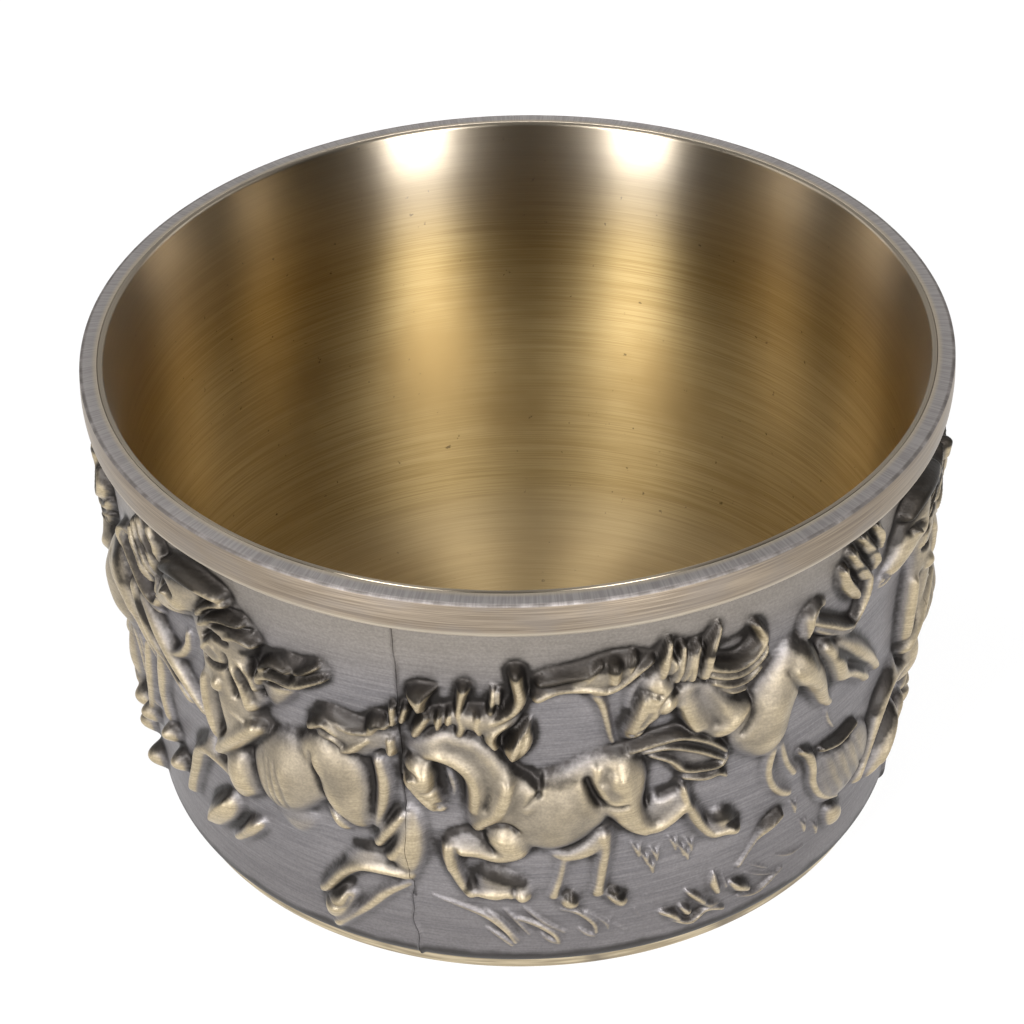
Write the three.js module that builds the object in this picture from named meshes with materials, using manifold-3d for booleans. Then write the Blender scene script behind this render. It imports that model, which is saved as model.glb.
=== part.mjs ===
// A small bronze wine cup: a turned brass liner stands in a ring of four relief castings, which a rim
// band caps and a foot plate closes. Millimetres, +Z up, origin at the middle of the underside.
// Azimuth is measured from -Y, where the middle of the frieze faces, towards +X.
import * as THREE from 'three';
import { mergeVertices } from 'three/addons/utils/BufferGeometryUtils.js';
import Module from 'manifold-3d';

// Outside of the cup
const CUP_HEIGHT = 38.2;
const RIM_RADIUS = 33;
const BAND_HEIGHT = 3.2;
const BAND_OVERHANG = 1.3;
const BAND_LOWER_ROUND = 0.9;
const BAND_UPPER_ROUND = 0.25;
const WALL_TAPER = 0.082; // radius gained per millimetre of height

// Walls and fits
const LIP_WIDTH = 1.8; // the flat round the mouth, liner and band together
const PANEL_THICKNESS = 0.8;
const LINER_THICKNESS = 0.4;
const FIT_CLEARANCE = 0.1;
const SEAM_GAP = 0.3;
const SEAM_AZIMUTH = -17; // degrees, the seam that shows left of the middle
const PANELS = ['front_panel', 'right_panel', 'back_panel', 'left_panel'];

// Foot and floor
const FOOT_HEIGHT = 0.9;
const FOOT_INSET = 0.95; // from the wall's line in to the foot lip
const FOOT_ROUND = 0.3;
const HEEL_ROUND = 1.5; // rounded lower edge of the castings
const SPIGOT_HEIGHT = 0.7; // stands inside the castings and centres them
const RECESS_DEPTH = 0.5;
const FOOT_RING_WIDTH = 3.5;
const FLOOR_ROUND = 6;

// Relief
const FRIEZE_RADIUS = 31.1; // arc lengths of the frieze are laid out on this radius
const FRIEZE_BASE = 0.85; // height of the frieze's zero line
const FRIEZE_UNIT = 1; // length of one unit in the stations of the horses and the ground
const RELIEF_DEPTH = 1.8; // crest of the broadest forms
const RELIEF_ROUNDNESS = 1.1; // half width at which a form nears that depth
const RELIEF_ROOT = 0.4; // how far a form is rooted in the wall

// Fineness of the facets
const SEGMENTS = 48;
const ROUND_STEPS = 4;
const SMALL_ROUND_STEPS = 2;

const bandBottom = CUP_HEIGHT - BAND_HEIGHT;
const wallRadius = (z) => RIM_RADIUS - BAND_OVERHANG - WALL_TAPER * (bandBottom - z);
const panelInside = (z) => wallRadius(z) - PANEL_THICKNESS;
const footRadius = wallRadius(0) - FOOT_INSET;
const panelBottom = FOOT_HEIGHT + FIT_CLEARANCE;
const panelTop = bandBottom - FIT_CLEARANCE;
const spigotTop = FOOT_HEIGHT + SPIGOT_HEIGHT;

const wasm = await Module();
wasm.setup();

const BRONZE_RELIEF = new THREE.MeshStandardMaterial({ color: 0x7d705c, roughness: 0.42, metalness: 1 });
const BRASS_LINER = new THREE.MeshStandardMaterial({ color: 0xa98648, roughness: 0.35, metalness: 1 });
const BRONZE_BAND = new THREE.MeshStandardMaterial({ color: 0xa69a86, roughness: 0.38, metalness: 1 });
const BRONZE_FOOT = new THREE.MeshStandardMaterial({ color: 0x8f7f5e, roughness: 0.45, metalness: 1 });

// A geometry with nothing but welded positions, so that every edge is shared by two faces
function welded(geometry) {
  geometry.deleteAttribute('normal');
  geometry.deleteAttribute('uv');
  return mergeVertices(geometry, 1e-5);
}

// A profile of radius and height, turned about the Z axis
function turned(profile, roundSteps) {
  return welded(new THREE.LatheGeometry(profile.getPoints(roundSteps), SEGMENTS).rotateX(Math.PI / 2));
}

function solid(geometry) {
  return new wasm.Manifold(new wasm.Mesh({
    numProp: 3,
    vertProperties: Float32Array.from(geometry.attributes.position.array),
    triVerts: Uint32Array.from(geometry.index.array),
  }));
}

function geometryOf(manifold) {
  const { vertProperties, triVerts } = manifold.getMesh();
  const geometry = new THREE.BufferGeometry();
  geometry.setAttribute('position', new THREE.BufferAttribute(vertProperties, 3));
  geometry.setIndex(new THREE.BufferAttribute(triVerts, 1));
  return geometry;
}

function named(name, geometry, material) {
  const mesh = new THREE.Mesh(geometry, material);
  mesh.name = name;
  return mesh;
}

// Liner: a straight tapered cup with a rounded floor corner and a lip that flares into the band
const linerOutside = (z) => panelInside(z) - FIT_CLEARANCE;
const linerInside = (z) => linerOutside(z) - LINER_THICKNESS;
const linerBottom = spigotTop + FIT_CLEARANCE;
const linerFloor = linerBottom + LINER_THICKNESS;
const mouthRadius = RIM_RADIUS - LIP_WIDTH;

function linerGeometry() {
  const outerCorner = FLOOR_ROUND + LINER_THICKNESS;
  const cornerTop = linerBottom + outerCorner;
  const profile = new THREE.Path();
  profile.moveTo(0, linerBottom);
  profile.lineTo(linerOutside(linerBottom) - outerCorner, linerBottom);
  profile.quadraticCurveTo(linerOutside(linerBottom), linerBottom, linerOutside(cornerTop), cornerTop);
  profile.lineTo(linerOutside(bandBottom), bandBottom);
  profile.lineTo(mouthRadius + LINER_THICKNESS, CUP_HEIGHT);
  profile.lineTo(mouthRadius, CUP_HEIGHT);
  profile.lineTo(linerInside(bandBottom), bandBottom);
  profile.lineTo(linerInside(cornerTop), cornerTop);
  const floorCorner = linerInside(linerFloor);
  profile.quadraticCurveTo(floorCorner, linerFloor, floorCorner - FLOOR_ROUND, linerFloor);
  profile.lineTo(0, linerFloor);
  return turned(profile, ROUND_STEPS);
}

// Rim band: a ring with a flat top, a rounded lower edge and a bore that follows the liner's lip
function bandGeometry() {
  const boreBottom = linerOutside(bandBottom) + FIT_CLEARANCE;
  const boreTop = mouthRadius + LINER_THICKNESS + FIT_CLEARANCE;
  const lowerEdge = bandBottom + BAND_LOWER_ROUND;
  const upperEdge = CUP_HEIGHT - BAND_UPPER_ROUND;
  const profile = new THREE.Path();
  profile.moveTo(boreBottom, bandBottom);
  profile.lineTo(RIM_RADIUS - BAND_LOWER_ROUND, bandBottom);
  profile.quadraticCurveTo(RIM_RADIUS, bandBottom, RIM_RADIUS, lowerEdge);
  profile.lineTo(RIM_RADIUS, upperEdge);
  profile.lineTo(RIM_RADIUS - BAND_UPPER_ROUND, CUP_HEIGHT);
  profile.lineTo(boreTop, CUP_HEIGHT);
  profile.lineTo(boreBottom, bandBottom);
  return turned(profile, ROUND_STEPS);
}

// Base plate: foot lip, ledge under the castings, centring spigot and a recessed underside
function baseGeometry() {
  const spigotRadius = panelInside(panelBottom) - FIT_CLEARANCE;
  const recessRadius = footRadius - FOOT_RING_WIDTH;
  const profile = new THREE.Path();
  profile.moveTo(0, RECESS_DEPTH);
  profile.lineTo(recessRadius, RECESS_DEPTH);
  profile.lineTo(recessRadius, 0);
  profile.lineTo(footRadius - FOOT_ROUND, 0);
  profile.quadraticCurveTo(footRadius, 0, footRadius, FOOT_ROUND);
  profile.lineTo(footRadius, FOOT_HEIGHT - FOOT_ROUND);
  profile.quadraticCurveTo(footRadius, FOOT_HEIGHT, footRadius - FOOT_ROUND, FOOT_HEIGHT);
  profile.lineTo(spigotRadius, FOOT_HEIGHT);
  profile.lineTo(spigotRadius, spigotTop);
  profile.lineTo(0, spigotTop);
  return turned(profile, SMALL_ROUND_STEPS);
}

// Plain wall of the castings, still a whole ring
function wallGeometry() {
  const heelTop = panelBottom + HEEL_ROUND;
  const profile = new THREE.Path();
  profile.moveTo(panelInside(panelBottom), panelBottom);
  profile.lineTo(footRadius - FOOT_ROUND, panelBottom);
  profile.quadraticCurveTo(wallRadius(panelBottom), panelBottom, wallRadius(heelTop), heelTop);
  profile.lineTo(wallRadius(panelTop), panelTop);
  profile.lineTo(panelInside(panelTop), panelTop);
  profile.lineTo(panelInside(panelBottom), panelBottom);
  return turned(profile, SMALL_ROUND_STEPS);
}

// Frieze coordinates: arc length along the wall and height, in units, and how far the point stands off it
function onWall(arc, height, lift) {
  const azimuth = arc * FRIEZE_UNIT / FRIEZE_RADIUS;
  const z = FRIEZE_BASE + height * FRIEZE_UNIT;
  const radius = wallRadius(z) + lift;
  return [radius * Math.sin(azimuth), -radius * Math.cos(azimuth), z];
}

// How high a form of a given half width stands at its crest
const crest = (half) => RELIEF_DEPTH * (1 - Math.exp(-half * FRIEZE_UNIT / RELIEF_ROUNDNESS));

// A limb is a loft over stations of [arc, height, half width]: a low half-round section, rooted in the
// wall, swells and tapers along them, and both ends run out to a tip. Edges and tips lie a little below
// the wall's surface, so that no sliver stands free of it.
const EDGE_ROOT = -0.3; // of the root
const SECTION = [[1, EDGE_ROOT], [0.5, 0.87], [-0.5, 0.87], [-1, EDGE_ROOT], [0, -1]];
const TIP_REACH = 0.9; // of the end's half width

function limb(stations) {
  const last = stations.length - 1;
  const along = (i) => {
    const [a, b] = [stations[Math.max(i - 1, 0)], stations[Math.min(i + 1, last)]];
    return new THREE.Vector2(b[0] - a[0], b[1] - a[1]).normalize();
  };
  const positions = [];
  stations.forEach(([arc, height, half], i) => {
    const { x, y } = along(i);
    for (const [across, up] of SECTION) {
      const lift = up > 0 ? up * crest(half) : up * RELIEF_ROOT;
      positions.push(...onWall(arc - y * across * half, height + x * across * half, lift));
    }
  });
  for (const [i, sign] of [[0, -1], [last, 1]]) {
    const [arc, height, half] = stations[i];
    const reach = sign * TIP_REACH * half;
    positions.push(...onWall(arc + reach * along(i).x, height + reach * along(i).y, EDGE_ROOT * RELIEF_ROOT));
  }

  const sides = SECTION.length;
  const tips = stations.length * sides;
  const faces = [];
  for (let side = 0; side < sides; side++) {
    const next = (side + 1) % sides;
    for (let start = 0; start < last * sides; start += sides) {
      const [a, b] = [start + side, start + next];
      faces.push(a, b, a + sides, b, b + sides, a + sides);
    }
    faces.push(tips, next, side);
    faces.push(tips + 1, last * sides + side, last * sides + next);
  }
  const geometry = new THREE.BufferGeometry();
  geometry.setAttribute('position', new THREE.Float32BufferAttribute(positions, 3));
  geometry.setIndex(faces);
  return solid(geometry);
}

// Horses gallop to the left. Each limb is a row of [arc, height, half width] stations.
const LEADING_HORSE = [
  [[-26.6, 30.6, 1.9], [-28.6, 29, 1.7], [-31.9, 26.3, 0.75]], // head
  [[-25.8, 28, 1.8], [-24.6, 24.6, 2.4], [-24.2, 19.6, 2.6]], // neck
  [[-21.6, 16.8, 2.4], [-19, 16.4, 3.9], [-15.4, 18.6, 2.8]], // barrel
  [[-15.2, 20.6, 2.3], [-14, 17.4, 2.2], [-13.4, 14, 1.2]], // rump and thigh
  [[-23.8, 14, 1.8], [-26.4, 14, 1], [-29, 13.3, 0.9], [-30.6, 10.2, 0.72], [-32, 7.3, 0.6]], // near foreleg
  [[-25.6, 10, 0.9], [-27.6, 8, 1.3], [-29.6, 5.9, 0.7]], // far fore hoof
  [[-23, 9.2, 0.6], [-25, 7.2, 0.8], [-26.8, 5.6, 0.4]], // far forearm
  [[-9, 15.4, 0.9], [-9, 12, 1.3], [-9.6, 9.6, 0.9], [-13.4, 9.6, 0.9], [-16.8, 5.7, 0.6]], // near hind leg
  [[-14.8, 5.4, 0.9], [-16.4, 3.4, 0.9]], // near hind hoof
  [[-9.6, 8.3, 0.5], [-13, 5.1, 0.55], [-16, 2.1, 0.5]], // far hind leg
  [[-26, 29, 0.8], [-22.8, 31, 0.6]], // mane, top lock
  [[-24.2, 27.4, 1.2], [-20.8, 28.2, 0.7]], // mane, second lock
  [[-20.6, 25, 0.8], [-18.2, 26.6, 1.2], [-14.8, 28, 0.5]], // mane, long lock
  [[-24, 25.6, 1], [-22, 24, 1.1], [-21.4, 21.8, 0.8]], // mane, falling lock
  [[-16.4, 22.6, 0.8], [-14.4, 23.2, 1.2], [-10.2, 23.6, 1]], // tail, flying lock
  [[-11.1, 20.4, 0.6], [-10.9, 17.4, 0.75], [-11.6, 14, 0.5]], // tail, falling lock
];

const MIDDLE_HORSE = [
  [[-7.9, 21, 1.35], [-7.6, 19.2, 1.3], [-6.4, 17, 0.75]], // head
  [[-7.6, 22.4, 1.2], [-5.6, 23, 1.75], [-3.6, 20.8, 2.2], [-2.4, 17.4, 2.4]], // neck
  [[-1.8, 16.6, 2.6], [2.2, 16.8, 3.9], [6, 18.8, 2.9]], // barrel
  [[6.4, 19.6, 2.5], [7.2, 16.8, 1.9], [8.4, 14.6, 1.25], [9.6, 14.6, 1.3], [11.6, 15.6, 1.2]], // rump, thigh
  [[11.9, 15.6, 0.8], [12.8, 13.6, 0.6], [14.2, 11.3, 0.55], [15.8, 11.7, 1.2]], // near hind shank and hoof
  [[-1.5, 13.9, 2], [-3.6, 13, 1.1], [-5.9, 13, 0.9], [-5.7, 10.6, 0.62], [-4.6, 8, 0.55]], // near foreleg
  [[-3.6, 9.6, 1], [-2.4, 9.2, 1.3], [-0.4, 8.4, 0.8]], // far foreleg
  [[5.4, 13.4, 0.95], [4.2, 12.3, 0.95], [2.6, 11.6, 0.6], [2, 8.6, 0.45], [3.1, 7, 0.65]], // far hind leg
  [[5.5, 13.6, 0.9], [5.6, 11, 0.52], [5.3, 8, 0.55], [6.9, 6.8, 0.85]], // inner hind leg
  [[7.6, 22, 0.7], [9.6, 21.8, 0.95], [11.6, 20.9, 1.2], [13.4, 19.6, 1.1], [15.2, 18.4, 0.6]], // tail
  [[-7.5, 25.2, 0.9], [-5, 26.2, 1.3], [-1.2, 26.4, 1.3]], // mane along the crest
  [[-7.5, 24.8, 0.6], [-7.5, 27.6, 0.8]], // forelock
  [[-4.6, 26, 0.6], [-4.3, 28.9, 0.45]], // mane, standing lock
  [[-1.6, 26.6, 0.8], [-0.4, 28.2, 0.65], [-0.7, 30.4, 0.5]], // mane, rear lock
  [[-0.2, 25.8, 0.6], [-0.7, 23.2, 0.8]], // mane, curl on the withers
];

const FOLLOWING_HORSE = [
  [[9.5, 28, 1.2], [9.2, 26.2, 1.35], [7.7, 23.6, 0.75]], // head
  [[1, 28.9, 1], [4.2, 29.4, 1.3], [6.6, 29.8, 1.5], [8.9, 30.3, 0.6]], // forelock blown forward
  [[10.9, 27, 1.3], [12.8, 25, 1.9], [15.2, 22.7, 2.1]], // neck
  [[10.2, 28.8, 0.9], [13.3, 28.6, 0.9], [16.6, 28.6, 0.9], [17.2, 30.2, 0.5]], // mane, upper lock
  [[13.8, 27, 0.7], [15.8, 26.2, 0.9], [17.6, 27.4, 0.5]], // mane, lower lock
  [[10, 29.5, 0.6], [10.2, 31.4, 0.35]], // mane, first spike
  [[13.2, 29.2, 0.6], [13.9, 31.6, 0.35]], // mane, second spike
  [[16.2, 21.4, 2.4], [18.8, 21, 3.8], [20.9, 24.6, 2.7]], // barrel
  [[21, 25, 2.2], [22.6, 22.9, 1.6], [23.9, 20.9, 1.1], [26, 18.3, 0.6]], // rump and near hind leg
  [[24.2, 24.6, 0.9], [26, 21.4, 1.1], [28, 19.9, 0.7], [30.4, 17.7, 0.5]], // far hind leg
  [[25.4, 24.4, 0.7], [28.4, 21.6, 1], [32.2, 17.6, 0.5]], // far hind leg's web
  [[18.6, 18.6, 1.2], [19.5, 15.6, 0.55], [20.2, 13.2, 0.45], [21.8, 11.5, 0.45]], // hanging foreleg
  [[22, 28, 0.8], [24.4, 26.4, 0.75], [26.9, 24.8, 0.65], [28.4, 26, 0.6], [28.9, 28.6, 0.5]], // tail
  [[26, 31.4, 0.7], [27.6, 29.6, 1.2], [29.2, 30.4, 0.9], [29, 32.6, 0.6]], // hair behind the tail
];

const GROUND = [
  [[10.8, 3.6, 0.6], [13, 3, 1.1], [15.2, 5, 0.6]], // rock
  [[17.2, 4.1, 0.8], [18.5, 3.2, 0.6], [22, 3.6, 0.5], [27, 3, 0.4]], // ridge
  [[25, 12.4, 0.7], [28, 10.6, 2.2], [31, 10, 1.8]], // mound
];

// One half turn holds three overlapping horses, their ground, and two of the horses once more
const TRAILING_AZIMUTH = 116; // degrees from the leading horse to its repeat
const AHEAD_AZIMUTH = -110.5; // degrees from the following horse to its repeat, ahead of the leading one
const arcOver = (degrees) => THREE.MathUtils.degToRad(degrees) * FRIEZE_RADIUS / FRIEZE_UNIT;
const shifted = (limbs, shift) => limbs.map((spine) => spine.map(([arc, z, half]) => [arc + shift, z, half]));
const HALF_FRIEZE = [
  ...LEADING_HORSE,
  ...MIDDLE_HORSE,
  ...FOLLOWING_HORSE,
  ...GROUND,
  ...shifted(LEADING_HORSE, arcOver(TRAILING_AZIMUTH)),
  ...shifted(FOLLOWING_HORSE, arcOver(AHEAD_AZIMUTH)),
];

function reliefRing() {
  let ring = solid(wallGeometry());
  for (const spine of [...HALF_FRIEZE, ...shifted(HALF_FRIEZE, arcOver(180))]) ring = ring.add(limb(spine));
  return ring;
}

// The sector that one casting fills between two seams, set back by half the seam gap on each side
function sector(index) {
  const half = Math.PI / PANELS.length;
  const apex = SEAM_GAP / 2 / Math.sin(half);
  const reach = 2 * RIM_RADIUS;
  const outline = new THREE.Shape();
  outline.moveTo(apex, 0);
  outline.lineTo(apex + reach * Math.cos(half), -reach * Math.sin(half));
  outline.lineTo(apex + reach, 0);
  outline.lineTo(apex + reach * Math.cos(half), reach * Math.sin(half));
  const wedge = new THREE.ExtrudeGeometry(outline, { depth: CUP_HEIGHT, bevelEnabled: false });
  const azimuth = THREE.MathUtils.degToRad(SEAM_AZIMUTH) + (2 * index + 1) * half;
  return solid(welded(wedge.rotateZ(azimuth - Math.PI / 2)));
}

const cup = new THREE.Group();
cup.add(named('liner', linerGeometry(), BRASS_LINER));
cup.add(named('rim_band', bandGeometry(), BRONZE_BAND));
cup.add(named('base_plate', baseGeometry(), BRONZE_FOOT));
const ring = reliefRing();
PANELS.forEach((name, index) => {
  cup.add(named(name, geometryOf(ring.intersect(sector(index))), BRONZE_RELIEF));
});

export default cup;
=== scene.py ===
# %% [markdown]
# # A bronze wine cup with a frieze of galloping horses
#
# The cup is a thin turned liner inside a ring of four relief castings. A rim band caps them and a foot
# plate closes them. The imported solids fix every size. This lesson gives each of them its fine surface:
# the turned pieces are spun from their profiles, and the castings are spun as fine grids whose outer
# skin is raised by a relief that is drawn, stroke by stroke, in frieze coordinates.

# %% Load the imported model
import math

import bmesh
import bpy
import numpy as np
from mathutils import Matrix, Vector


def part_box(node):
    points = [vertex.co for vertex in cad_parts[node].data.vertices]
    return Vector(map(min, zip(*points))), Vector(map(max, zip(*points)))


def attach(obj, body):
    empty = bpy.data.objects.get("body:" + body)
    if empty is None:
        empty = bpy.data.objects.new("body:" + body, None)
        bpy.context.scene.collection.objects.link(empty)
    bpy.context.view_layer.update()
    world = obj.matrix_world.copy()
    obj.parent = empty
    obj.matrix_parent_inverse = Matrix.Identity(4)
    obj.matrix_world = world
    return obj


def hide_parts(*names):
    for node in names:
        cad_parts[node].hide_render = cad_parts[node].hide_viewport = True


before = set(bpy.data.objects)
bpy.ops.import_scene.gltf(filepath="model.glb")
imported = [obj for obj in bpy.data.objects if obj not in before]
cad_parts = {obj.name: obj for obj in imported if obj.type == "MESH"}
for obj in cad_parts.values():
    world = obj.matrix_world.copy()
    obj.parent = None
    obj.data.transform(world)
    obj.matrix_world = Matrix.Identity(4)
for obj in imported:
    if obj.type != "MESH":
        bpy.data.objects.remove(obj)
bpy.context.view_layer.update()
MM = 0.001
print("nodes:", sorted(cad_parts))

# %% [markdown]
# ## Camera
#
# The photograph looks down into the mouth from about 36 degrees. Its focal length, tilt and roll were
# found by laying the rim's and the foot's circles over their ellipses. A long lens from 35 cm keeps the
# mild perspective of the picture, and a small shift puts the cup where it stands in the frame.

# %% Camera at the photograph's view
PHOTO_PIXELS = 1024
SENSOR = 36.0
FOCAL_PIXELS = 4502.5
VIEW_DISTANCE = 0.350
VIEW_ELEVATION = math.radians(36.4)
VIEW_ROLL = math.radians(-1.47)
AXIS_PIXEL = (521.8, 533.9)  # where the lens axis meets the picture, from its upper left corner
AIM = Vector((0, 0, 0.020))


def photo_camera():
    camera = bpy.data.objects.new("photo_camera", bpy.data.cameras.new("photo_camera"))
    bpy.context.collection.objects.link(camera)
    towards = Vector((0, -math.cos(VIEW_ELEVATION), math.sin(VIEW_ELEVATION)))
    tilt = Matrix.Rotation(math.pi / 2 - VIEW_ELEVATION, 4, "X")
    roll = Matrix.Rotation(VIEW_ROLL, 4, "Z")
    camera.matrix_world = Matrix.Translation(AIM + towards * VIEW_DISTANCE) @ tilt @ roll
    camera.data.sensor_width = SENSOR
    camera.data.lens = FOCAL_PIXELS / PHOTO_PIXELS * SENSOR
    camera.data.shift_x = 0.5 - AXIS_PIXEL[0] / PHOTO_PIXELS
    camera.data.shift_y = AXIS_PIXEL[1] / PHOTO_PIXELS - 0.5
    return camera


bpy.context.scene.camera = photo_camera()
bpy.context.scene.view_settings.view_transform = "Standard"
print("lens", round(bpy.context.scene.camera.data.lens, 1), "mm")

# %% [markdown]
# ## A small kit for shader nodes
#
# Every finish below is a short chain of nodes on Object coordinates. The chains could be wired node by
# node, but a few helpers keep them readable. One adds a node and fills its sockets. One turns Object
# coordinates into the cup's own, which are the way round, the way out and the way up. The others mix,
# fade, and draw noise.

# %% Shader helpers
def add_node(tree, kind, inputs=None, **settings):
    node = tree.nodes.new(kind)
    for key, value in settings.items():
        setattr(node, key, value)
    for key, value in (inputs or {}).items():
        if isinstance(value, bpy.types.NodeSocket):
            tree.links.new(value, node.inputs[key])
        else:
            node.inputs[key].default_value = value
    return node


def maths(tree, operation, first, second=0.0, clamp=False):
    inputs = {0: first, 1: second}
    return add_node(tree, "ShaderNodeMath", inputs, operation=operation, use_clamp=clamp).outputs[0]


def weighted(tree, first, first_share, second, second_share):
    part = maths(tree, "MULTIPLY", first, first_share)
    return maths(tree, "ADD", part, maths(tree, "MULTIPLY", second, second_share))


def blend_colours(tree, factor, low, high):
    node = add_node(tree, "ShaderNodeMix", data_type="RGBA")
    for socket, value in (("Factor_Float", factor), ("A_Color", low), ("B_Color", high)):
        target = next(item for item in node.inputs if item.identifier == socket)
        if isinstance(value, bpy.types.NodeSocket):
            tree.links.new(value, target)
        else:
            target.default_value = value
    return next(item for item in node.outputs if item.identifier == "Result_Color")


def tinted(tree, base, colour, mask, share):
    return blend_colours(tree, maths(tree, "MULTIPLY", mask, share), base, colour)


def ramp(tree, factor, low, high):
    """A soft fade from 0 at the low end to 1 at the high end."""
    inputs = {"Value": factor, "From Min": low, "From Max": high}
    return add_node(tree, "ShaderNodeMapRange", inputs, interpolation_type="SMOOTHSTEP").outputs["Result"]


def spread(tree, factor, to_low, to_high, low=0.0, high=1.0):
    """Maps one range straight onto another."""
    inputs = {"Value": factor, "From Min": low, "From Max": high, "To Min": to_low, "To Max": to_high}
    return add_node(tree, "ShaderNodeMapRange", inputs).outputs["Result"]


def round_coordinates(tree):
    """The way round in radians, the way out and the way up in metres."""
    place = add_node(tree, "ShaderNodeTexCoord").outputs["Object"]
    axes = add_node(tree, "ShaderNodeSeparateXYZ", {0: place}).outputs
    turn = maths(tree, "ARCTAN2", axes["X"], axes["Y"])
    out = maths(tree, "SQRT", maths(tree, "ADD", maths(tree, "POWER", axes["X"], 2.0),
                                    maths(tree, "POWER", axes["Y"], 2.0)))
    return turn, out, axes["Z"]


def streaks(tree, turn, out, up, per_turn, per_metre, detail=3.0, seed=0.0):
    """Noise drawn out round the cup: many lines up the wall, few changes along each line."""
    sine = maths(tree, "MULTIPLY", maths(tree, "SINE", turn), per_turn)
    cosine = maths(tree, "MULTIPLY", maths(tree, "COSINE", turn), per_turn)
    across = maths(tree, "MULTIPLY", maths(tree, "ADD", up, out), per_metre)
    place = add_node(tree, "ShaderNodeCombineXYZ", {0: sine, 1: cosine, 2: across}).outputs[0]
    inputs = {0: place, 1: (seed, seed, seed)}
    moved = add_node(tree, "ShaderNodeVectorMath", inputs, operation="ADD").outputs[0]
    noise = add_node(tree, "ShaderNodeTexNoise", {"Vector": moved, "Scale": 1.0, "Detail": detail})
    return noise.outputs["Fac"]


def speckle(tree, per_metre, detail=4.0, seed=0.0):
    place = add_node(tree, "ShaderNodeTexCoord").outputs["Object"]
    inputs = {"Vector": place, "Location": (seed, seed, seed)}
    moved = add_node(tree, "ShaderNodeMapping", inputs).outputs[0]
    inputs = {"Vector": moved, "Scale": per_metre, "Detail": detail}
    return add_node(tree, "ShaderNodeTexNoise", inputs).outputs["Fac"]


def bump(tree, height, distance, strength=1.0, under=None):
    inputs = {"Height": height, "Distance": distance, "Strength": strength}
    if under is not None:
        inputs["Normal"] = under
    return add_node(tree, "ShaderNodeBump", inputs).outputs["Normal"]


def metal(name):
    material = bpy.data.materials.new(name)
    material.use_nodes = True
    shader = material.node_tree.nodes["Principled BSDF"]
    shader.inputs["Metallic"].default_value = 1.0
    return material, material.node_tree, shader


ACROSS_SCRATCHES = 0.25  # a quarter turn of the tangent


def brushed_round(tree, shader, amount):
    """Scratches that run round the axis draw a lamp's mirror image out across them."""
    shader.inputs["Anisotropic"].default_value = amount
    shader.inputs["Anisotropic Rotation"].default_value = ACROSS_SCRATCHES
    tangent = add_node(tree, "ShaderNodeTangent", direction_type="RADIAL", axis="Z")
    tree.links.new(tangent.outputs[0], shader.inputs["Tangent"])


# %% [markdown]
# ## Floor and light
#
# The picture is a plain white product shot, with a white floor that fills the background. Left and right
# of the camera stand two soft lamps, each with a second one below it. They draw the two bright streaks
# inside the bowl, and the lower ones keep them white near the lip. The dark gap between the streaks is the
# unlit space round the camera. Three weak lamps at the sides pick out the relief. One bright dome would be
# simpler, but metal is mostly what it mirrors, so the room is pale behind the cup and dark in front of it.

# %% Floor, world and lamps
FLOOR_SIZE = 3.0
FLOOR_WHITE = 0.92
FLOOR_ROUGHNESS = 0.9
FLOOR_GLOW = 0.85  # the rest of what is seen keeps the cup's shadow
ROOM_BEHIND = ((0.0, 0.7), (0.6, 0.6), (0.8, 0.12), (0.96, 0.3))  # share of the way up, and grey there
ROOM_FRONT = ((0.0, 0.04), (0.4, 0.03), (0.8, 0.05), (0.96, 0.3))
ROOM_CHANGE = (0.1, 0.7)  # from front to behind, in shares of the way back
LAMP_DISTANCE = 0.75
LAMP_SIZE = (0.22, 0.55)
LAMP_POWER = 4.6
LAMP_AZIMUTHS = (-36.0, 26.5)
LAMP_ELEVATION = 40.0
LOW_ELEVATION = 19.0
LOW_SIZE = (0.2, 0.5)
LOW_POWER = 4.6
SIDE_POWER = 0.9
SIDE_AZIMUTHS = (-120.0, -88.0, 112.0)


def white_floor():
    bm = bmesh.new()
    bmesh.ops.create_grid(bm, x_segments=1, y_segments=1, size=FLOOR_SIZE / 2)
    mesh = bpy.data.meshes.new("floor")
    bm.to_mesh(mesh)
    bm.free()
    floor = bpy.data.objects.new("floor", mesh)
    bpy.context.collection.objects.link(floor)
    material = bpy.data.materials.new("white_floor")
    material.use_nodes = True
    tree = material.node_tree
    shader = tree.nodes["Principled BSDF"]
    shader.inputs["Base Color"].default_value = (FLOOR_WHITE, FLOOR_WHITE, FLOOR_WHITE, 1)
    shader.inputs["Roughness"].default_value = FLOOR_ROUGHNESS
    rays = add_node(tree, "ShaderNodeLightPath").outputs
    seen = maths(tree, "ADD", rays["Is Camera Ray"], rays["Is Glossy Ray"])
    seen = maths(tree, "ADD", seen, rays["Is Transmission Ray"], clamp=True)
    glow = add_node(tree, "ShaderNodeEmission", {"Color": (1, 1, 1, 1), "Strength": 1.0}).outputs[0]
    share = maths(tree, "MULTIPLY", seen, FLOOR_GLOW)
    mixed = add_node(tree, "ShaderNodeMixShader", {0: share, 1: shader.outputs[0], 2: glow}).outputs[0]
    tree.links.new(mixed, tree.nodes["Material Output"].inputs["Surface"])
    mesh.materials.append(material)


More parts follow.
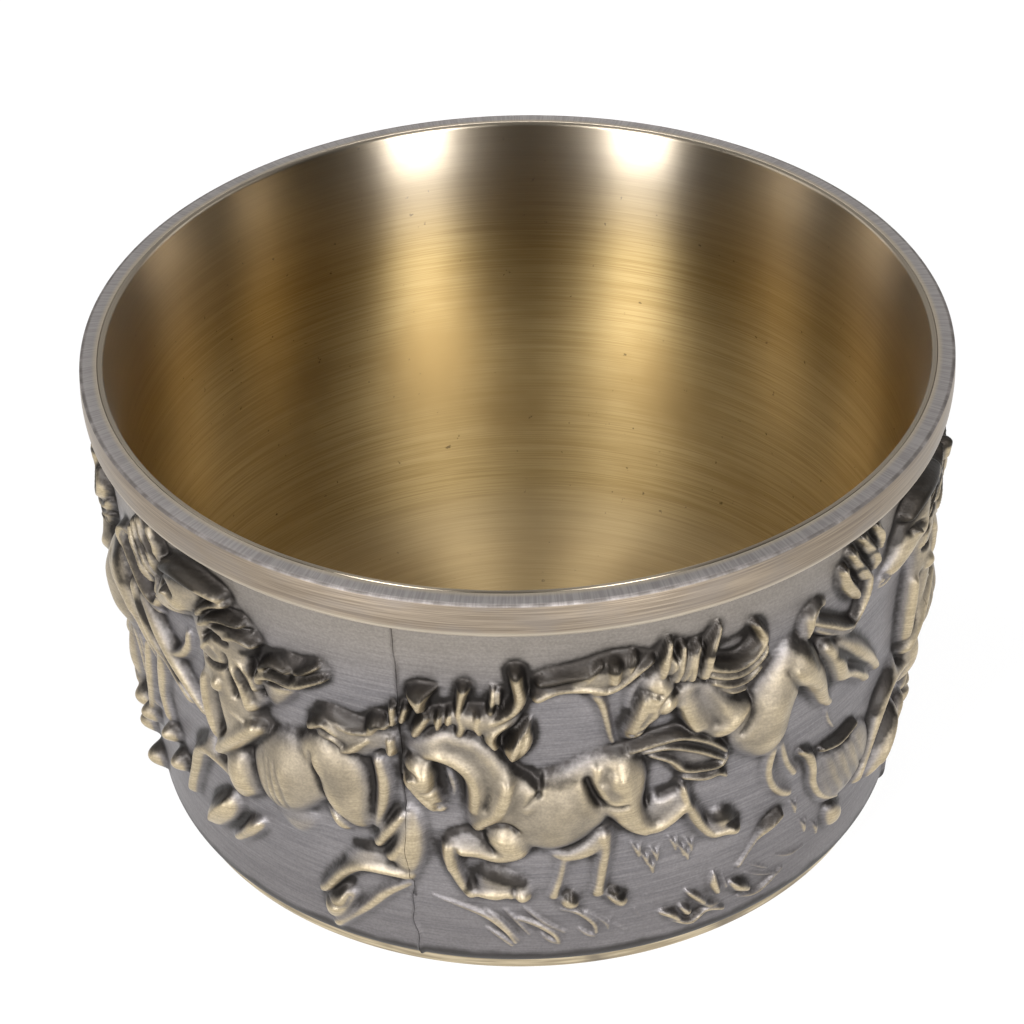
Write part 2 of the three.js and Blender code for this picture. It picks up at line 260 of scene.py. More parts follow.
def studio_world():
    """White to the camera. The metal sees a room that is pale behind the cup and dark in front."""
    world = bpy.data.worlds.new("studio")
    bpy.context.scene.world = world
    world.use_nodes = True
    tree = world.node_tree
    rays = add_node(tree, "ShaderNodeLightPath").outputs
    way = add_node(tree, "ShaderNodeTexCoord").outputs["Generated"]
    axes = add_node(tree, "ShaderNodeSeparateXYZ", {0: way}).outputs
    shades = []
    for room_side in (ROOM_FRONT, ROOM_BEHIND):
        gradient = add_node(tree, "ShaderNodeValToRGB", {0: axes["Z"]})
        stops = gradient.color_ramp.elements
        while len(stops) < len(room_side):
            stops.new(0.5)
        for stop, (place, grey) in zip(stops, room_side):
            stop.position = place
            stop.color = (grey, grey, grey, 1)
        shades.append(gradient.outputs["Color"])
    room = blend_colours(tree, ramp(tree, axes["Y"], *ROOM_CHANGE), *shades)
    colour = blend_colours(tree, rays["Is Camera Ray"], room, (1, 1, 1, 1))
    tree.links.new(colour, tree.nodes["Background"].inputs["Color"])


def soft_lamp(name, azimuth, elevation, distance, size, power):
    lamp = bpy.data.lights.new(name, "AREA")
    lamp.shape = "RECTANGLE"
    lamp.size, lamp.size_y = size
    lamp.energy = power
    holder = bpy.data.objects.new(name, lamp)
    bpy.context.collection.objects.link(holder)
    turn, rise = math.radians(azimuth), math.radians(elevation)
    level = distance * math.cos(rise)
    place = AIM + Vector((level * math.sin(turn), -level * math.cos(turn), distance * math.sin(rise)))
    holder.location = place
    holder.rotation_euler = (AIM - place).to_track_quat("-Z", "Y").to_euler()


white_floor()
studio_world()
for side, azimuth in zip(("left", "right"), LAMP_AZIMUTHS):
    soft_lamp(side + "_lamp", azimuth, LAMP_ELEVATION, LAMP_DISTANCE, LAMP_SIZE, LAMP_POWER)
    soft_lamp(side + "_low_lamp", azimuth, LOW_ELEVATION, LAMP_DISTANCE, LOW_SIZE, LOW_POWER)
for index, azimuth in enumerate(SIDE_AZIMUTHS):
    name = "side_lamp_" + str(index + 1)
    soft_lamp(name, azimuth, LAMP_ELEVATION, LAMP_DISTANCE, LAMP_SIZE, SIDE_POWER)
print("lamps:", [item.name for item in bpy.data.lights])

# %% [markdown]
# ## Sizes that the turned pieces share
#
# Millimetres are easier to read for a cup, so profiles are written in them and scaled once when a mesh
# is made. The outer sizes could be typed in too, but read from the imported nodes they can't disagree with
# them. The wall's taper and the thin walls are the values that the solids were made with.

# %% Shared sizes
def node_reach(node):
    low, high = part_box(node)
    return high[0] / MM, low[2] / MM, high[2] / MM


RIM_RADIUS, BAND_BOTTOM, CUP_HEIGHT = node_reach("rim_band")
FOOT_RADIUS, _, SPIGOT_TOP = node_reach("base_plate")
LINER_LIP, LINER_BOTTOM, _ = node_reach("liner")
PANEL_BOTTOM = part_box("front_panel")[0][2] / MM
PANEL_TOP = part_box("front_panel")[1][2] / MM
BAND_OVERHANG = 1.3
WALL_TAPER = 0.082
PANEL_THICKNESS = 0.8
LINER_THICKNESS = 0.4
FIT_CLEARANCE = 0.1
FLOOR_ROUND = 6.0
HEEL_ROUND = 1.5
FOOT_HEIGHT = PANEL_BOTTOM - FIT_CLEARANCE
MOUTH_RADIUS = LINER_LIP - LINER_THICKNESS


def wall_radius(z):
    return RIM_RADIUS - BAND_OVERHANG - WALL_TAPER * (BAND_BOTTOM - z)


def panel_inside(z):
    return wall_radius(z) - PANEL_THICKNESS


def liner_outside(z):
    return panel_inside(z) - FIT_CLEARANCE


def liner_inside(z):
    return liner_outside(z) - LINER_THICKNESS


print("rim", round(RIM_RADIUS, 2), "height", round(CUP_HEIGHT, 2), "foot", round(FOOT_RADIUS, 2))

# %% [markdown]
# ## Turned pieces
#
# Liner, band and foot are lathe work on the real cup. They could be cylinders with cuts and bevels, but
# spinning one profile round the axis is nearer to the lathe. A profile is a few corners, and each corner
# can be rounded by a short curve between its two neighbours.

# %% Profiles and spinning
def rounded_profile(corners):
    """Corners are (radius, z, round, steps). A corner with a round becomes a short quadratic curve."""
    points = []
    for index, (r, z, size, steps) in enumerate(corners):
        here = Vector((r, z))
        if size == 0:
            points.append(here)
            continue
        before = Vector(corners[index - 1][:2])
        after = Vector(corners[(index + 1) % len(corners)][:2])
        start = here + (before - here).normalized() * size
        end = here + (after - here).normalized() * size
        for step in range(steps + 1):
            t = step / steps
            points.append(start * (1 - t) ** 2 + here * 2 * t * (1 - t) + end * t ** 2)
    return points


def profile_wire(bm, points, closed, azimuth=0.0):
    away = Vector((math.sin(azimuth), -math.cos(azimuth), 0))
    verts = [bm.verts.new((away * point.x + Vector((0, 0, point.y))) * MM) for point in points]
    pairs = list(zip(verts, verts[1:]))
    if closed:
        pairs.append((verts[-1], verts[0]))
    return verts, [bm.edges.new(pair) for pair in pairs]


SHARP_EDGE = 40.0  # degrees between faces, above which an edge stays sharp
WELD = 1e-7


def finished_piece(name, bm, sharp_degrees=SHARP_EDGE):
    mesh = bpy.data.meshes.new(name)
    bm.to_mesh(mesh)
    bm.free()
    mesh.shade_smooth()
    mesh.set_sharp_from_angle(angle=math.radians(sharp_degrees))
    piece = bpy.data.objects.new(name, mesh)
    bpy.context.collection.objects.link(piece)
    print(name, len(mesh.vertices), "vertices,", len(mesh.polygons), "faces")
    return piece


def turned_piece(name, corners, closed, steps):
    bm = bmesh.new()
    verts, edges = profile_wire(bm, rounded_profile(corners), closed)
    bmesh.ops.spin(bm, geom=verts + edges, axis=(0, 0, 1), cent=(0, 0, 0), angle=2 * math.pi,
                   steps=steps, use_merge=True)
    bmesh.ops.remove_doubles(bm, verts=bm.verts, dist=WELD)
    bmesh.ops.recalc_face_normals(bm, faces=bm.faces)
    return finished_piece(name, bm)


def dress(piece, node, material):
    piece.data.materials.append(material)
    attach(piece, "root")
    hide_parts(node)


# %% [markdown]
# ## Brushed brass of the bowl
#
# The inside was finished with an abrasive held against the spinning cup, so its scratches run round it.
# Such a surface mirrors a lamp as a long streak across the scratches. The shader's anisotropy with a
# tangent that runs round the axis gives that streak, and fine noise drawn out round the bowl gives the
# scratches themselves and small differences in colour.

# %% Brushed brass
BRASS_DARK = (0.32, 0.226, 0.096, 1)
BRASS_LIGHT = (0.405, 0.30, 0.14, 1)
BRASS_STAIN = (0.285, 0.195, 0.08, 1)
BRASS_PIT = (0.16, 0.11, 0.05, 1)
BRASS_OF_FLOOR = (0.60, 0.50, 0.34, 1)
BRASS_OF_LIP = (0.33, 0.302, 0.27, 1)
LIP_FADE = (CUP_HEIGHT - 12.0, CUP_HEIGHT - 1.5)  # heights between which the grey of the lip comes in
FLOOR_FADE = (6.0, 2.0)
DEEP_FADE = (32.0, 8.0)  # heights between which the brushing gets coarser
SCRATCH_DEPTH = 0.02


def fade(tree, way, heights):
    return ramp(tree, way, heights[0] * MM, heights[1] * MM)


def brushed_brass():
    material, tree, shader = metal("brushed_brass")
    turn, out, up = round_coordinates(tree)
    fine = streaks(tree, turn, out, up, per_turn=4.0, per_metre=9000.0)
    broad = streaks(tree, turn, out, up, per_turn=1.2, per_metre=1500.0, seed=7.0)
    stain = speckle(tree, per_metre=60.0)
    pits = speckle(tree, per_metre=1500.0, seed=4.0)
    lines = weighted(tree, fine, 0.65, broad, 0.35)
    colour = blend_colours(tree, ramp(tree, lines, 0.36, 0.64), BRASS_DARK, BRASS_LIGHT)
    colour = blend_colours(tree, ramp(tree, stain, 0.5, 0.75), colour, BRASS_STAIN)
    colour = blend_colours(tree, ramp(tree, pits, 0.70, 0.76), colour, BRASS_PIT)
    colour = tinted(tree, colour, BRASS_OF_FLOOR, fade(tree, up, FLOOR_FADE), 0.25)
    colour = tinted(tree, colour, BRASS_OF_LIP, fade(tree, up, LIP_FADE), 0.7)
    tree.links.new(colour, shader.inputs["Base Color"])
    deep = maths(tree, "MULTIPLY", fade(tree, up, DEEP_FADE), 0.33)
    rough = maths(tree, "ADD", spread(tree, lines, 0.285, 0.34), deep)
    tree.links.new(rough, shader.inputs["Roughness"])
    brushed_round(tree, shader, 0.95)
    tree.links.new(bump(tree, lines, SCRATCH_DEPTH * MM, 0.4), shader.inputs["Normal"])
    return material


# %% [markdown]
# ## Liner
#
# The liner is the thin inner cup, whose lip shows as a golden line round the mouth. A solid cup could be
# hollowed with a boolean or given a Solidify modifier. One open profile is plainer: it starts on the axis
# below the floor, goes up the outside, over the lip and down the inside, and ends on the axis again.

# %% Liner
LINER_STEPS = 256


def liner_corners():
    outer_round = FLOOR_ROUND + LINER_THICKNESS
    floor = LINER_BOTTOM + LINER_THICKNESS
    return [
        (0, LINER_BOTTOM, 0, 0),
        (liner_outside(LINER_BOTTOM), LINER_BOTTOM, outer_round, 12),
        (liner_outside(BAND_BOTTOM), BAND_BOTTOM, 0, 0),
        (LINER_LIP, CUP_HEIGHT, 0.08, 3),
        (MOUTH_RADIUS, CUP_HEIGHT, 0.22, 6),
        (liner_inside(BAND_BOTTOM), BAND_BOTTOM, 1.6, 10),
        (liner_inside(floor), floor, FLOOR_ROUND, 18),
        (0, floor, 0, 0),
    ]


liner = turned_piece("bowl_liner", liner_corners(), closed=False, steps=LINER_STEPS)
dress(liner, "liner", brushed_brass())

# %% [markdown]
# ## Turned bronze of the rim
#
# The band is the plainest piece and the brightest: a ring, greyed on its flat top where the cutter left
# short radial chatter marks, and golden on its outside where hands have rubbed it. Its rounded lower edge is
# lightened, which is a painted highlight. Two materials could do that, but one that fades by height has no
# hard line between top and side.

# %% Turned bronze
BAND_DARK = (0.215, 0.172, 0.13, 1)
BAND_LIGHT = (0.35, 0.288, 0.218, 1)
BAND_GREY = (0.25, 0.22, 0.195, 1)
# painted highlight: a light colour along the band's rounded lower edge
BAND_LOWER_EDGE_HIGHLIGHT = (0.68, 0.60, 0.48, 1)
TOP_DARK = (0.35, 0.322, 0.312, 1)
TOP_LIGHT = (0.45, 0.418, 0.402, 1)
TOP_INNER_EDGE = (0.58, 0.49, 0.36, 1)
TOP_NICKS = (0.13, 0.115, 0.105, 1)
LOWER_LIP_FADE = (BAND_BOTTOM + 0.75, BAND_BOTTOM + 0.3)
INNER_EDGE_FADE = (LINER_LIP + 0.5, LINER_LIP + 0.1)
OUTER_EDGE_FADE = (RIM_RADIUS - 0.4, RIM_RADIUS - 0.2)
TOP_FADE = (CUP_HEIGHT - 0.36, CUP_HEIGHT - 0.22)


def turned_bronze():
    material, tree, shader = metal("turned_bronze")
    turn, out, up = round_coordinates(tree)
    lines = streaks(tree, turn, 0.0, up, per_turn=5.0, per_metre=8000.0)
    patches = streaks(tree, turn, 0.0, up, per_turn=8.0, per_metre=500.0, seed=3.0)
    chatter = streaks(tree, turn, out, 0.0, per_turn=230.0, per_metre=350.0, seed=11.0)
    nicks = speckle(tree, per_metre=900.0, seed=6.0)
    side = blend_colours(tree, ramp(tree, lines, 0.32, 0.7), BAND_DARK, BAND_LIGHT)
    side = tinted(tree, side, BAND_GREY, ramp(tree, patches, 0.4, 0.7), 0.5)
    # painted highlight along the rounded lower edge
    side = tinted(tree, side, BAND_LOWER_EDGE_HIGHLIGHT, fade(tree, up, LOWER_LIP_FADE), 0.6)
    top = blend_colours(tree, ramp(tree, chatter, 0.36, 0.64), TOP_DARK, TOP_LIGHT)
    top = tinted(tree, top, TOP_INNER_EDGE, fade(tree, out, INNER_EDGE_FADE), 0.7)
    outer = fade(tree, out, OUTER_EDGE_FADE)
    top = tinted(tree, top, TOP_NICKS, outer, spread(tree, nicks, 0.25, 0.8, low=0.3, high=0.6))
    on_top = fade(tree, up, TOP_FADE)
    tree.links.new(blend_colours(tree, on_top, side, top), shader.inputs["Base Color"])
    edge = maths(tree, "MULTIPLY", outer, on_top)
    rough = maths(tree, "ADD", spread(tree, lines, 0.34, 0.5), maths(tree, "MULTIPLY", edge, 0.3))
    tree.links.new(rough, shader.inputs["Roughness"])
    marks = blend_colours(tree, on_top, lines, chatter)
    tree.links.new(bump(tree, marks, SCRATCH_DEPTH * MM, 0.4), shader.inputs["Normal"])
    brushed_round(tree, shader, 0.5)
    return material


# %% [markdown]
# ## Rim band
#
# The band is a ring that overhangs the castings and holds the liner's lip in its bore. A bevelled tube
# would come close, but the bore follows the liner's flare and the lower edge is rounder than the upper
# one. Five corners, spun as a closed profile, say all of that.

# %% Rim band
BAND_STEPS = 360


def band_corners():
    bore_bottom = liner_outside(BAND_BOTTOM) + FIT_CLEARANCE
    return [
        (bore_bottom, BAND_BOTTOM, 0, 0),
        (RIM_RADIUS - 0.25, BAND_BOTTOM, 0.55, 6),
        (RIM_RADIUS, BAND_BOTTOM + 1.3, 0.9, 6),
        (RIM_RADIUS - 0.06, CUP_HEIGHT - 0.18, 0.13, 4),
        (LINER_LIP + FIT_CLEARANCE / 4, CUP_HEIGHT, 0.06, 3),
    ]


band = turned_piece("rim_ring", band_corners(), closed=True, steps=BAND_STEPS)
dress(band, "rim_band", turned_bronze())

# %% [markdown]
# ## Foot
#
# The foot shows as a thin golden lip below a dark groove. Underneath it is a plain recessed disc. Stacked
# discs could make it, but then their joints would have to be hidden. One spun profile holds the lip, the
# ledge that the castings stand on, the spigot inside them and the recess.

# %% Foot bronze and base
FOOT_DARK = (0.34, 0.28, 0.19, 1)
FOOT_LIGHT = (0.58, 0.49, 0.34, 1)
FOOT_STAIN = (0.20, 0.17, 0.13, 1)
FOOT_ROUGHNESS = 0.42
FOOT_SCRATCH_DEPTH = 0.03


def foot_bronze():
    material, tree, shader = metal("foot_bronze")
    turn, out, up = round_coordinates(tree)
    lines = streaks(tree, turn, out, up, per_turn=6.0, per_metre=5000.0)
    stain = speckle(tree, per_metre=160.0)
    colour = blend_colours(tree, ramp(tree, lines, 0.35, 0.68), FOOT_DARK, FOOT_LIGHT)
    colour = blend_colours(tree, ramp(tree, stain, 0.52, 0.7), colour, FOOT_STAIN)
    tree.links.new(colour, shader.inputs["Base Color"])
    shader.inputs["Roughness"].default_value = FOOT_ROUGHNESS
    tree.links.new(bump(tree, lines, FOOT_SCRATCH_DEPTH * MM, 0.5), shader.inputs["Normal"])
    return material


BASE_STEPS = 256
RECESS_DEPTH = 0.5
FOOT_RING_WIDTH = 3.5


def base_corners():
    spigot = panel_inside(PANEL_BOTTOM) - FIT_CLEARANCE
    recess = FOOT_RADIUS - FOOT_RING_WIDTH
    return [
        (0, RECESS_DEPTH, 0, 0),
        (recess, RECESS_DEPTH, 0.2, 3),
        (recess, 0, 0.15, 3),
        (FOOT_RADIUS, 0, 0.35, 6),
        (FOOT_RADIUS, FOOT_HEIGHT, 0.3, 6),
        (spigot, FOOT_HEIGHT, 0, 0),
        (spigot, SPIGOT_TOP, 0, 0),
        (0, SPIGOT_TOP, 0, 0),
    ]


foot = turned_piece("foot_plate", base_corners(), closed=False, steps=BASE_STEPS)
dress(foot, "base_plate", foot_bronze())

# %% [markdown]
# ## The frieze as a height field
#
# A sculptor models such a relief in wax on a flat strip and bends the strip round the cup. The script
# does the same. The strip is a fine grid of heights over arc length and height on the wall, in
# millimetres. It covers half a turn and is used twice, as such moulds repeat. Three tools are enough:
# a pillow swells a traced outline, a limb follows a spine whose half width changes, and a groove cuts.

# %% Strip
FRIEZE_RADIUS = 31.1
FRIEZE_BASE = 0.85
CELL = 0.1
HALF_TURN = math.pi * FRIEZE_RADIUS
COLUMNS = round(HALF_TURN / CELL)
ROWS = round(CUP_HEIGHT / CELL)
relief = np.zeros((ROWS, COLUMNS))


def strip_window(path, reach):
    """The rows and columns round a path, and the place of each cell."""
    low = np.floor((path[:, :2].min(axis=0) - reach) / CELL).astype(int)
    high = np.ceil((path[:, :2].max(axis=0) + reach) / CELL).astype(int)
    columns = np.arange(low[0], high[0] + 1)
    rows = np.arange(max(low[1], 0), min(high[1], ROWS - 1) + 1)
    return np.ix_(rows, columns % COLUMNS), *np.meshgrid(columns * CELL, rows * CELL)


def smooth_through(before, start, end, after, steps):
    """Catmull-Rom: a smooth curve from start to end that heeds its neighbours."""
    for t in np.linspace(0, 1, steps, endpoint=False):
        bend = 2 * before - 5 * start + 4 * end - after + t * (3 * (start - end) + after - before)
        yield start + 0.5 * t * (end - before + t * bend)


def add_form(place, form, fillet):
    """Covers what lies behind. A fillet melts the two together where both stand proud."""
    below = relief[place]
    joined = np.maximum(below, form)
    if fillet:
        near = np.maximum(fillet - np.abs(below - form), 0) ** 2 / (4 * fillet)
        joined += near * np.clip(below / fillet, 0, 1) * np.clip(form / fillet, 0, 1)
    relief[place] = joined


print("strip of", ROWS, "by", COLUMNS, "cells")

# %% [markdown]
# ## Pillows
#
# A body is traced as a closed outline. Blown up like a cushion it rises steeply at its edge and rounds
# over to a flat top. The distance from the outline could give the height, but it leaves a sharp ridge
# along the middle. A stretched skin under pressure has none, so the height comes from relaxing such a
# skin over the outline, with every cell pulled to the mean of its neighbours.

# %% Pillow
def closed_curve(points, steps=5):
    points = np.array(points, dtype=float)
    curve = []
    for index in range(len(points)):
        around = [points[(index + offset) % len(points)] for offset in (-1, 0, 1, 2)]
        curve.extend(smooth_through(*around, steps))
    return np.array(curve)


def inside(curve, s, z):
    crossed = np.zeros(s.shape, dtype=bool)
    for (s0, z0), (s1, z1) in zip(curve, np.roll(curve, -1, axis=0)):
        if z0 != z1:
            crossed ^= ((z0 > z) != (z1 > z)) & (s < (s1 - s0) * (z - z0) / (z1 - z0) + s0)
    return crossed


def stretched_skin(mask, softness):
    """From 0 at the outline to 1 at its highest place, by red and black relaxation."""
    stiff = 4 + 1 / softness ** 2
    rounds = int(20 + 6 * softness)
    pull = 2 / (1 + math.sqrt(1 - (4 / stiff) ** 2))
    skin = np.zeros(mask.shape)
    parity = np.indices(mask.shape).sum(axis=0) % 2 == 0
    for _ in range(rounds):
        for half in (mask & parity, mask & ~parity):
            mean = np.roll(skin, 1, 0) + np.roll(skin, -1, 0) + np.roll(skin, 1, 1) + np.roll(skin, -1, 1)
            skin = np.where(half, skin + pull * ((mean + 1) / stiff - skin), skin)
    return np.clip(skin / max(skin.max(), 1e-9), 0, 1)


BELLY_SHARE = 0.5
BELLY_SOFTNESS = 2.6
EDGE_SOFTNESS = 0.6
EDGE_POWER = 0.7  # below 1 the edge rises more steeply
BASE_EDGE = 0.3  # share of the edge's rise at which the base is full
WINDOW_MARGIN = 0.3


def pillow(outline, at=0.0, rise=1.5, soft=1.2, base=0.0, fillet=0.0):
    """A tight skin gives the round edge, and a slack one the belly in the middle."""
    curve = closed_curve([(s + at, z) for s, z in outline])
    place, s, z = strip_window(curve, WINDOW_MARGIN)
    mask = inside(curve, s, z)
    edge = stretched_skin(mask, EDGE_SOFTNESS * soft / CELL) ** EDGE_POWER
    belly = stretched_skin(mask, BELLY_SOFTNESS / CELL)
    form = rise * ((1 - BELLY_SHARE) * edge + BELLY_SHARE * belly)
    form = form + base * np.clip(edge / BASE_EDGE, 0, 1)
    add_form(place, form, fillet)


# %% [markdown]
# ## Limbs, locks, swellings and grooves
#
# A limb is a spine with a half width at each station. Its section is a dome that is higher where the
# limb is broader. It could be a pillow too, but a spine takes fewer points and tapers evenly. A lock of
# hair is a limb that is cut lengthwise into strands. A swelling or a groove changes only what already
# stands proud of the wall.

# %% Limb
LIMB_HEIGHT = 1.8
LIMB_ROUNDNESS = 1.1
LEAST_HALF_WIDTH = 0.08
DOME_STEEPNESS = 2.3
DOME_POWERS = (1.7, 4.0)
LIMB_BASE_STEEPNESS = 5
STRAND_DEPTH = 0.2
STRAND_SWAY = 0.3
STRAND_WAVES = 6
STRAND_END = 1.3
BRUSH_REACH = 2.5  # half widths from the spine at which a soft stroke ends
PROUD = 0.3  # height over which a form takes the full depth of a stroke


def spine(stations, at=0.0, steps=5):
    stations = np.array([(s + at, z, half) for s, z, half in stations], dtype=float)
    padded = np.vstack([2 * stations[0] - stations[1], stations, 2 * stations[-1] - stations[-2]])
    path = []
    for around in zip(padded, padded[1:], padded[2:], padded[3:]):
        path.extend(smooth_through(*around, steps))
    path.append(stations[-1])
    path = np.array(path)
    path[:, 2] = np.maximum(path[:, 2], LEAST_HALF_WIDTH)
    return path


def nearest_on_path(path, s, z):
    """Distance in half widths, half width there, side of the spine and share of the way along it."""
    reach = np.full(s.shape, np.inf)
    half, side, along = np.zeros(s.shape), np.zeros(s.shape), np.zeros(s.shape)
    for index, (start, end) in enumerate(zip(path, path[1:])):
        step = end - start
        length = max(step[0] ** 2 + step[1] ** 2, 1e-9)
        t = np.clip(((s - start[0]) * step[0] + (z - start[1]) * step[1]) / length, 0, 1)
        width = start[2] + t * step[2]
        off_s, off_z = s - start[0] - t * step[0], z - start[1] - t * step[1]
        distance = np.hypot(off_s, off_z) / width
        closer = distance < reach
        reach[closer] = distance[closer]
        half[closer] = width[closer]
        side[closer] = ((step[0] * off_z - step[1] * off_s) / (math.sqrt(length) * width))[closer]
        along[closer] = ((index + t) / (len(path) - 1))[closer]
    return reach, half, side, along


def limb(stations, at=0.0, rise=1.0, base=0.0, fillet=0.0, strands=0):
    path = spine(stations, at)
    place, s, z = strip_window(path, path[:, 2].max())
    reach, half, side, along = nearest_on_path(path, s, z)
    height = LIMB_HEIGHT * (1 - np.exp(-half / LIMB_ROUNDNESS)) * rise
    power = np.clip(DOME_STEEPNESS * half / np.maximum(height, 0.05), *DOME_POWERS)
    form = np.maximum(height * (1 - reach ** power), 0)
    if strands:
        wave = np.cos(math.pi * strands * (side + STRAND_SWAY * np.sin(STRAND_WAVES * along + strands)))
        form *= 1 - STRAND_DEPTH * (1 - wave) * np.clip(STRAND_END - reach, 0, 1)
    form += base * np.clip((1 - reach) * LIMB_BASE_STEEPNESS, 0, 1)
    add_form(place, form, fillet)


def swell(stations, at=0.0, amount=0.3):
    """Raises, or with a negative amount cuts, along a spine with soft sides."""
    path = spine(stations, at)
    place, s, z = strip_window(path, BRUSH_REACH * path[:, 2].max())
    reach = nearest_on_path(path, s, z)[0]
    proud = np.clip(relief[place] / PROUD, 0, 1)
    relief[place] = np.maximum(relief[place] + amount * np.exp(-reach ** 2) * proud, 0)


KNOB_POINTS = 10


def knob(s, z, half, rise=1.0):
    round_edge = np.linspace(0, 2 * math.pi, KNOB_POINTS, endpoint=False)
    pillow([(s + half * math.cos(t), z + half * math.sin(t)) for t in round_edge], rise=rise, soft=half)


# %% [markdown]
# ## Middle horse
#
# The middle horse gallops with its head tucked in. It could be sculpted freely with a brush, but then
# nothing could be read or changed later. As strokes it is drawn from back to front: far legs, trunk, hind
# leg, foreleg, neck and head. All places are arc length and height on the strip. Fine cuts and hair come
# later, on top of the softened bodies.

# %% Middle horse's far legs and trunk
def middle_trunk(at):
    limb([(5.4, 13.4, 0.95), (4.4, 12.4, 0.95), (3.0, 11.9, 0.75), (1.9, 12.1, 0.5)], at, 0.75)
    limb([(2.6, 11.6, 0.42), (2.35, 10, 0.4), (2.0, 8.6, 0.44), (1.75, 7.7, 0.5)], at, 0.85)
    pillow([(2.2, 7.3), (3.1, 8.1), (3.6, 7.5), (3.8, 6.6), (3.3, 6.2), (2.5, 6.5)], at, 0.9, 0.7)
    limb([(5.5, 13.6, 0.9), (5.7, 12.2, 0.65), (5.55, 10.4, 0.56), (5.35, 8.8, 0.54), (5.2, 7.7, 0.62)],
         at, 0.95)
    pillow([(5.7, 7.6), (6.4, 8.0), (7.1, 7.5), (7.6, 6.6), (7.5, 5.9), (7.0, 5.8), (6.3, 6.5), (5.9, 7.0)],
           at, 1.1, 0.7)
    pillow([(-4.2, 8.2), (-4.3, 9.6), (-3.8, 10.8), (-2.6, 11), (-1.0, 10.1), (0.2, 9.1), (0.3, 8.3),
            (-0.3, 7.5), (-1.3, 7.5), (-1.9, 7.8), (-2.7, 7.6), (-3.4, 7.8)], at, 0.8, 1.2)
    limb([(-4.0, 8.3, 0.5), (-2.6, 8.4, 0.8), (-1.7, 8.5, 0.55)], at, 1.0, 0.3, 0.2)
    limb([(-1.5, 8.3, 0.6), (-0.6, 8.0, 0.72)], at, 1.0, 0.3)
    pillow([(-2.4, 21.6), (-1.0, 21.2), (0.2, 20.75), (1.2, 20.6), (2.2, 20.85), (3.4, 21.4), (4.6, 22.0),
            (6.0, 22.3), (7.4, 22.1), (8.3, 21.4), (8.8, 20.2), (8.8, 18.4), (8.4, 16.4), (7.4, 14.9),
            (6.2, 15.2), (5.2, 14.5), (4.2, 13.5), (2.8, 12.75), (1.2, 12.6), (0.2, 13), (-1.4, 13.0),
            (-3.2, 14.6), (-3.4, 17.6)], at, 1.6, 2.0)
    swell([(1.7, 15.2, 1.6), (2.4, 17.2, 1.7)], at, 0.3)
    swell([(4.6, 20.2, 0.5), (4.9, 18.2, 0.55), (5.8, 16.6, 0.5), (6.0, 15.4, 0.4)], at, -0.5)


# %% Middle horse's near legs
def middle_legs(at):
    pillow([(8.7, 16.6), (9.4, 16.8), (10.4, 17.2), (11.7, 17.7), (12.2, 16.9), (12.5, 15.6), (12.6, 14.5),
            (11.8, 14.2), (11.1, 13.7), (10.3, 13.1), (9.4, 12.9), (8.4, 13.3), (7.9, 14.4)], at, 0.75, 1.3)
    limb([(6.6, 17.6, 1.9), (7.4, 15.8, 1.4), (8.3, 14.4, 1.05), (9.5, 13.8, 0.9), (10.7, 14.3, 0.85),
          (11.7, 15.1, 0.8)], at, 1.05, 0.2, 0.3)
    limb([(11.6, 17.0, 0.5), (11.8, 15.4, 0.65), (12.5, 14.2, 0.66), (13.3, 12.6, 0.58), (14.2, 11.3, 0.58)],
         at, 1.2)
    pillow([(13.9, 12.2), (14.2, 13.3), (14.9, 13.6), (15.9, 13.1), (16.6, 12.2), (17.0, 11.0), (16.7, 10.2),
            (16.0, 10.1), (15.2, 10.8), (14.4, 11.0)], at, 0.8, 1.0)
    limb([(14.6, 11.0, 0.55), (15.5, 11.0, 0.6), (16.3, 10.9, 0.8)], at, 1.15, 0.15)
    pillow([(4.1, 19.9), (4.7, 21.1), (5.6, 21.9), (6.8, 22.1), (8.0, 21.6), (8.7, 20.2), (8.8, 18.4),
            (8.4, 16.2), (7.2, 15.8), (6.6, 17.0), (5.6, 17.5), (4.7, 18.5)], at, 1.75, 1.6, 0.1, 0.3)
    pillow([(-6.7, 13.2), (-6.0, 14.1), (-4.8, 14.7), (-3.8, 14.3), (-2.6, 14.0), (-1.6, 12.6), (-2.2, 11.6),
            (-3.8, 11.7), (-5.0, 12.1), (-6.2, 12.2)], at, 0.75, 1.2)
    limb([(-1.2, 13.2, 1.4), (-2.4, 12.5, 0.95), (-3.8, 12.8, 0.82), (-5.3, 12.8, 0.8)], at, 1.1, 0.25, 0.2)
    pillow([(-3.4, 14.2), (-2.9, 15.4), (-1.8, 16.0), (-0.6, 15.6), (0.1, 14.4), (-0.1, 12.9), (-0.9, 12.0),
            (-2.2, 11.8), (-2.6, 13.0)], at, 1.55, 1.5, 0.25)
    limb([(-6.0, 13.1, 0.75), (-6.0, 12.0, 0.8), (-5.8, 10.6, 0.66), (-5.2, 9.1, 0.6), (-4.6, 8.1, 0.6)],
         at, 1.15, 0.1)


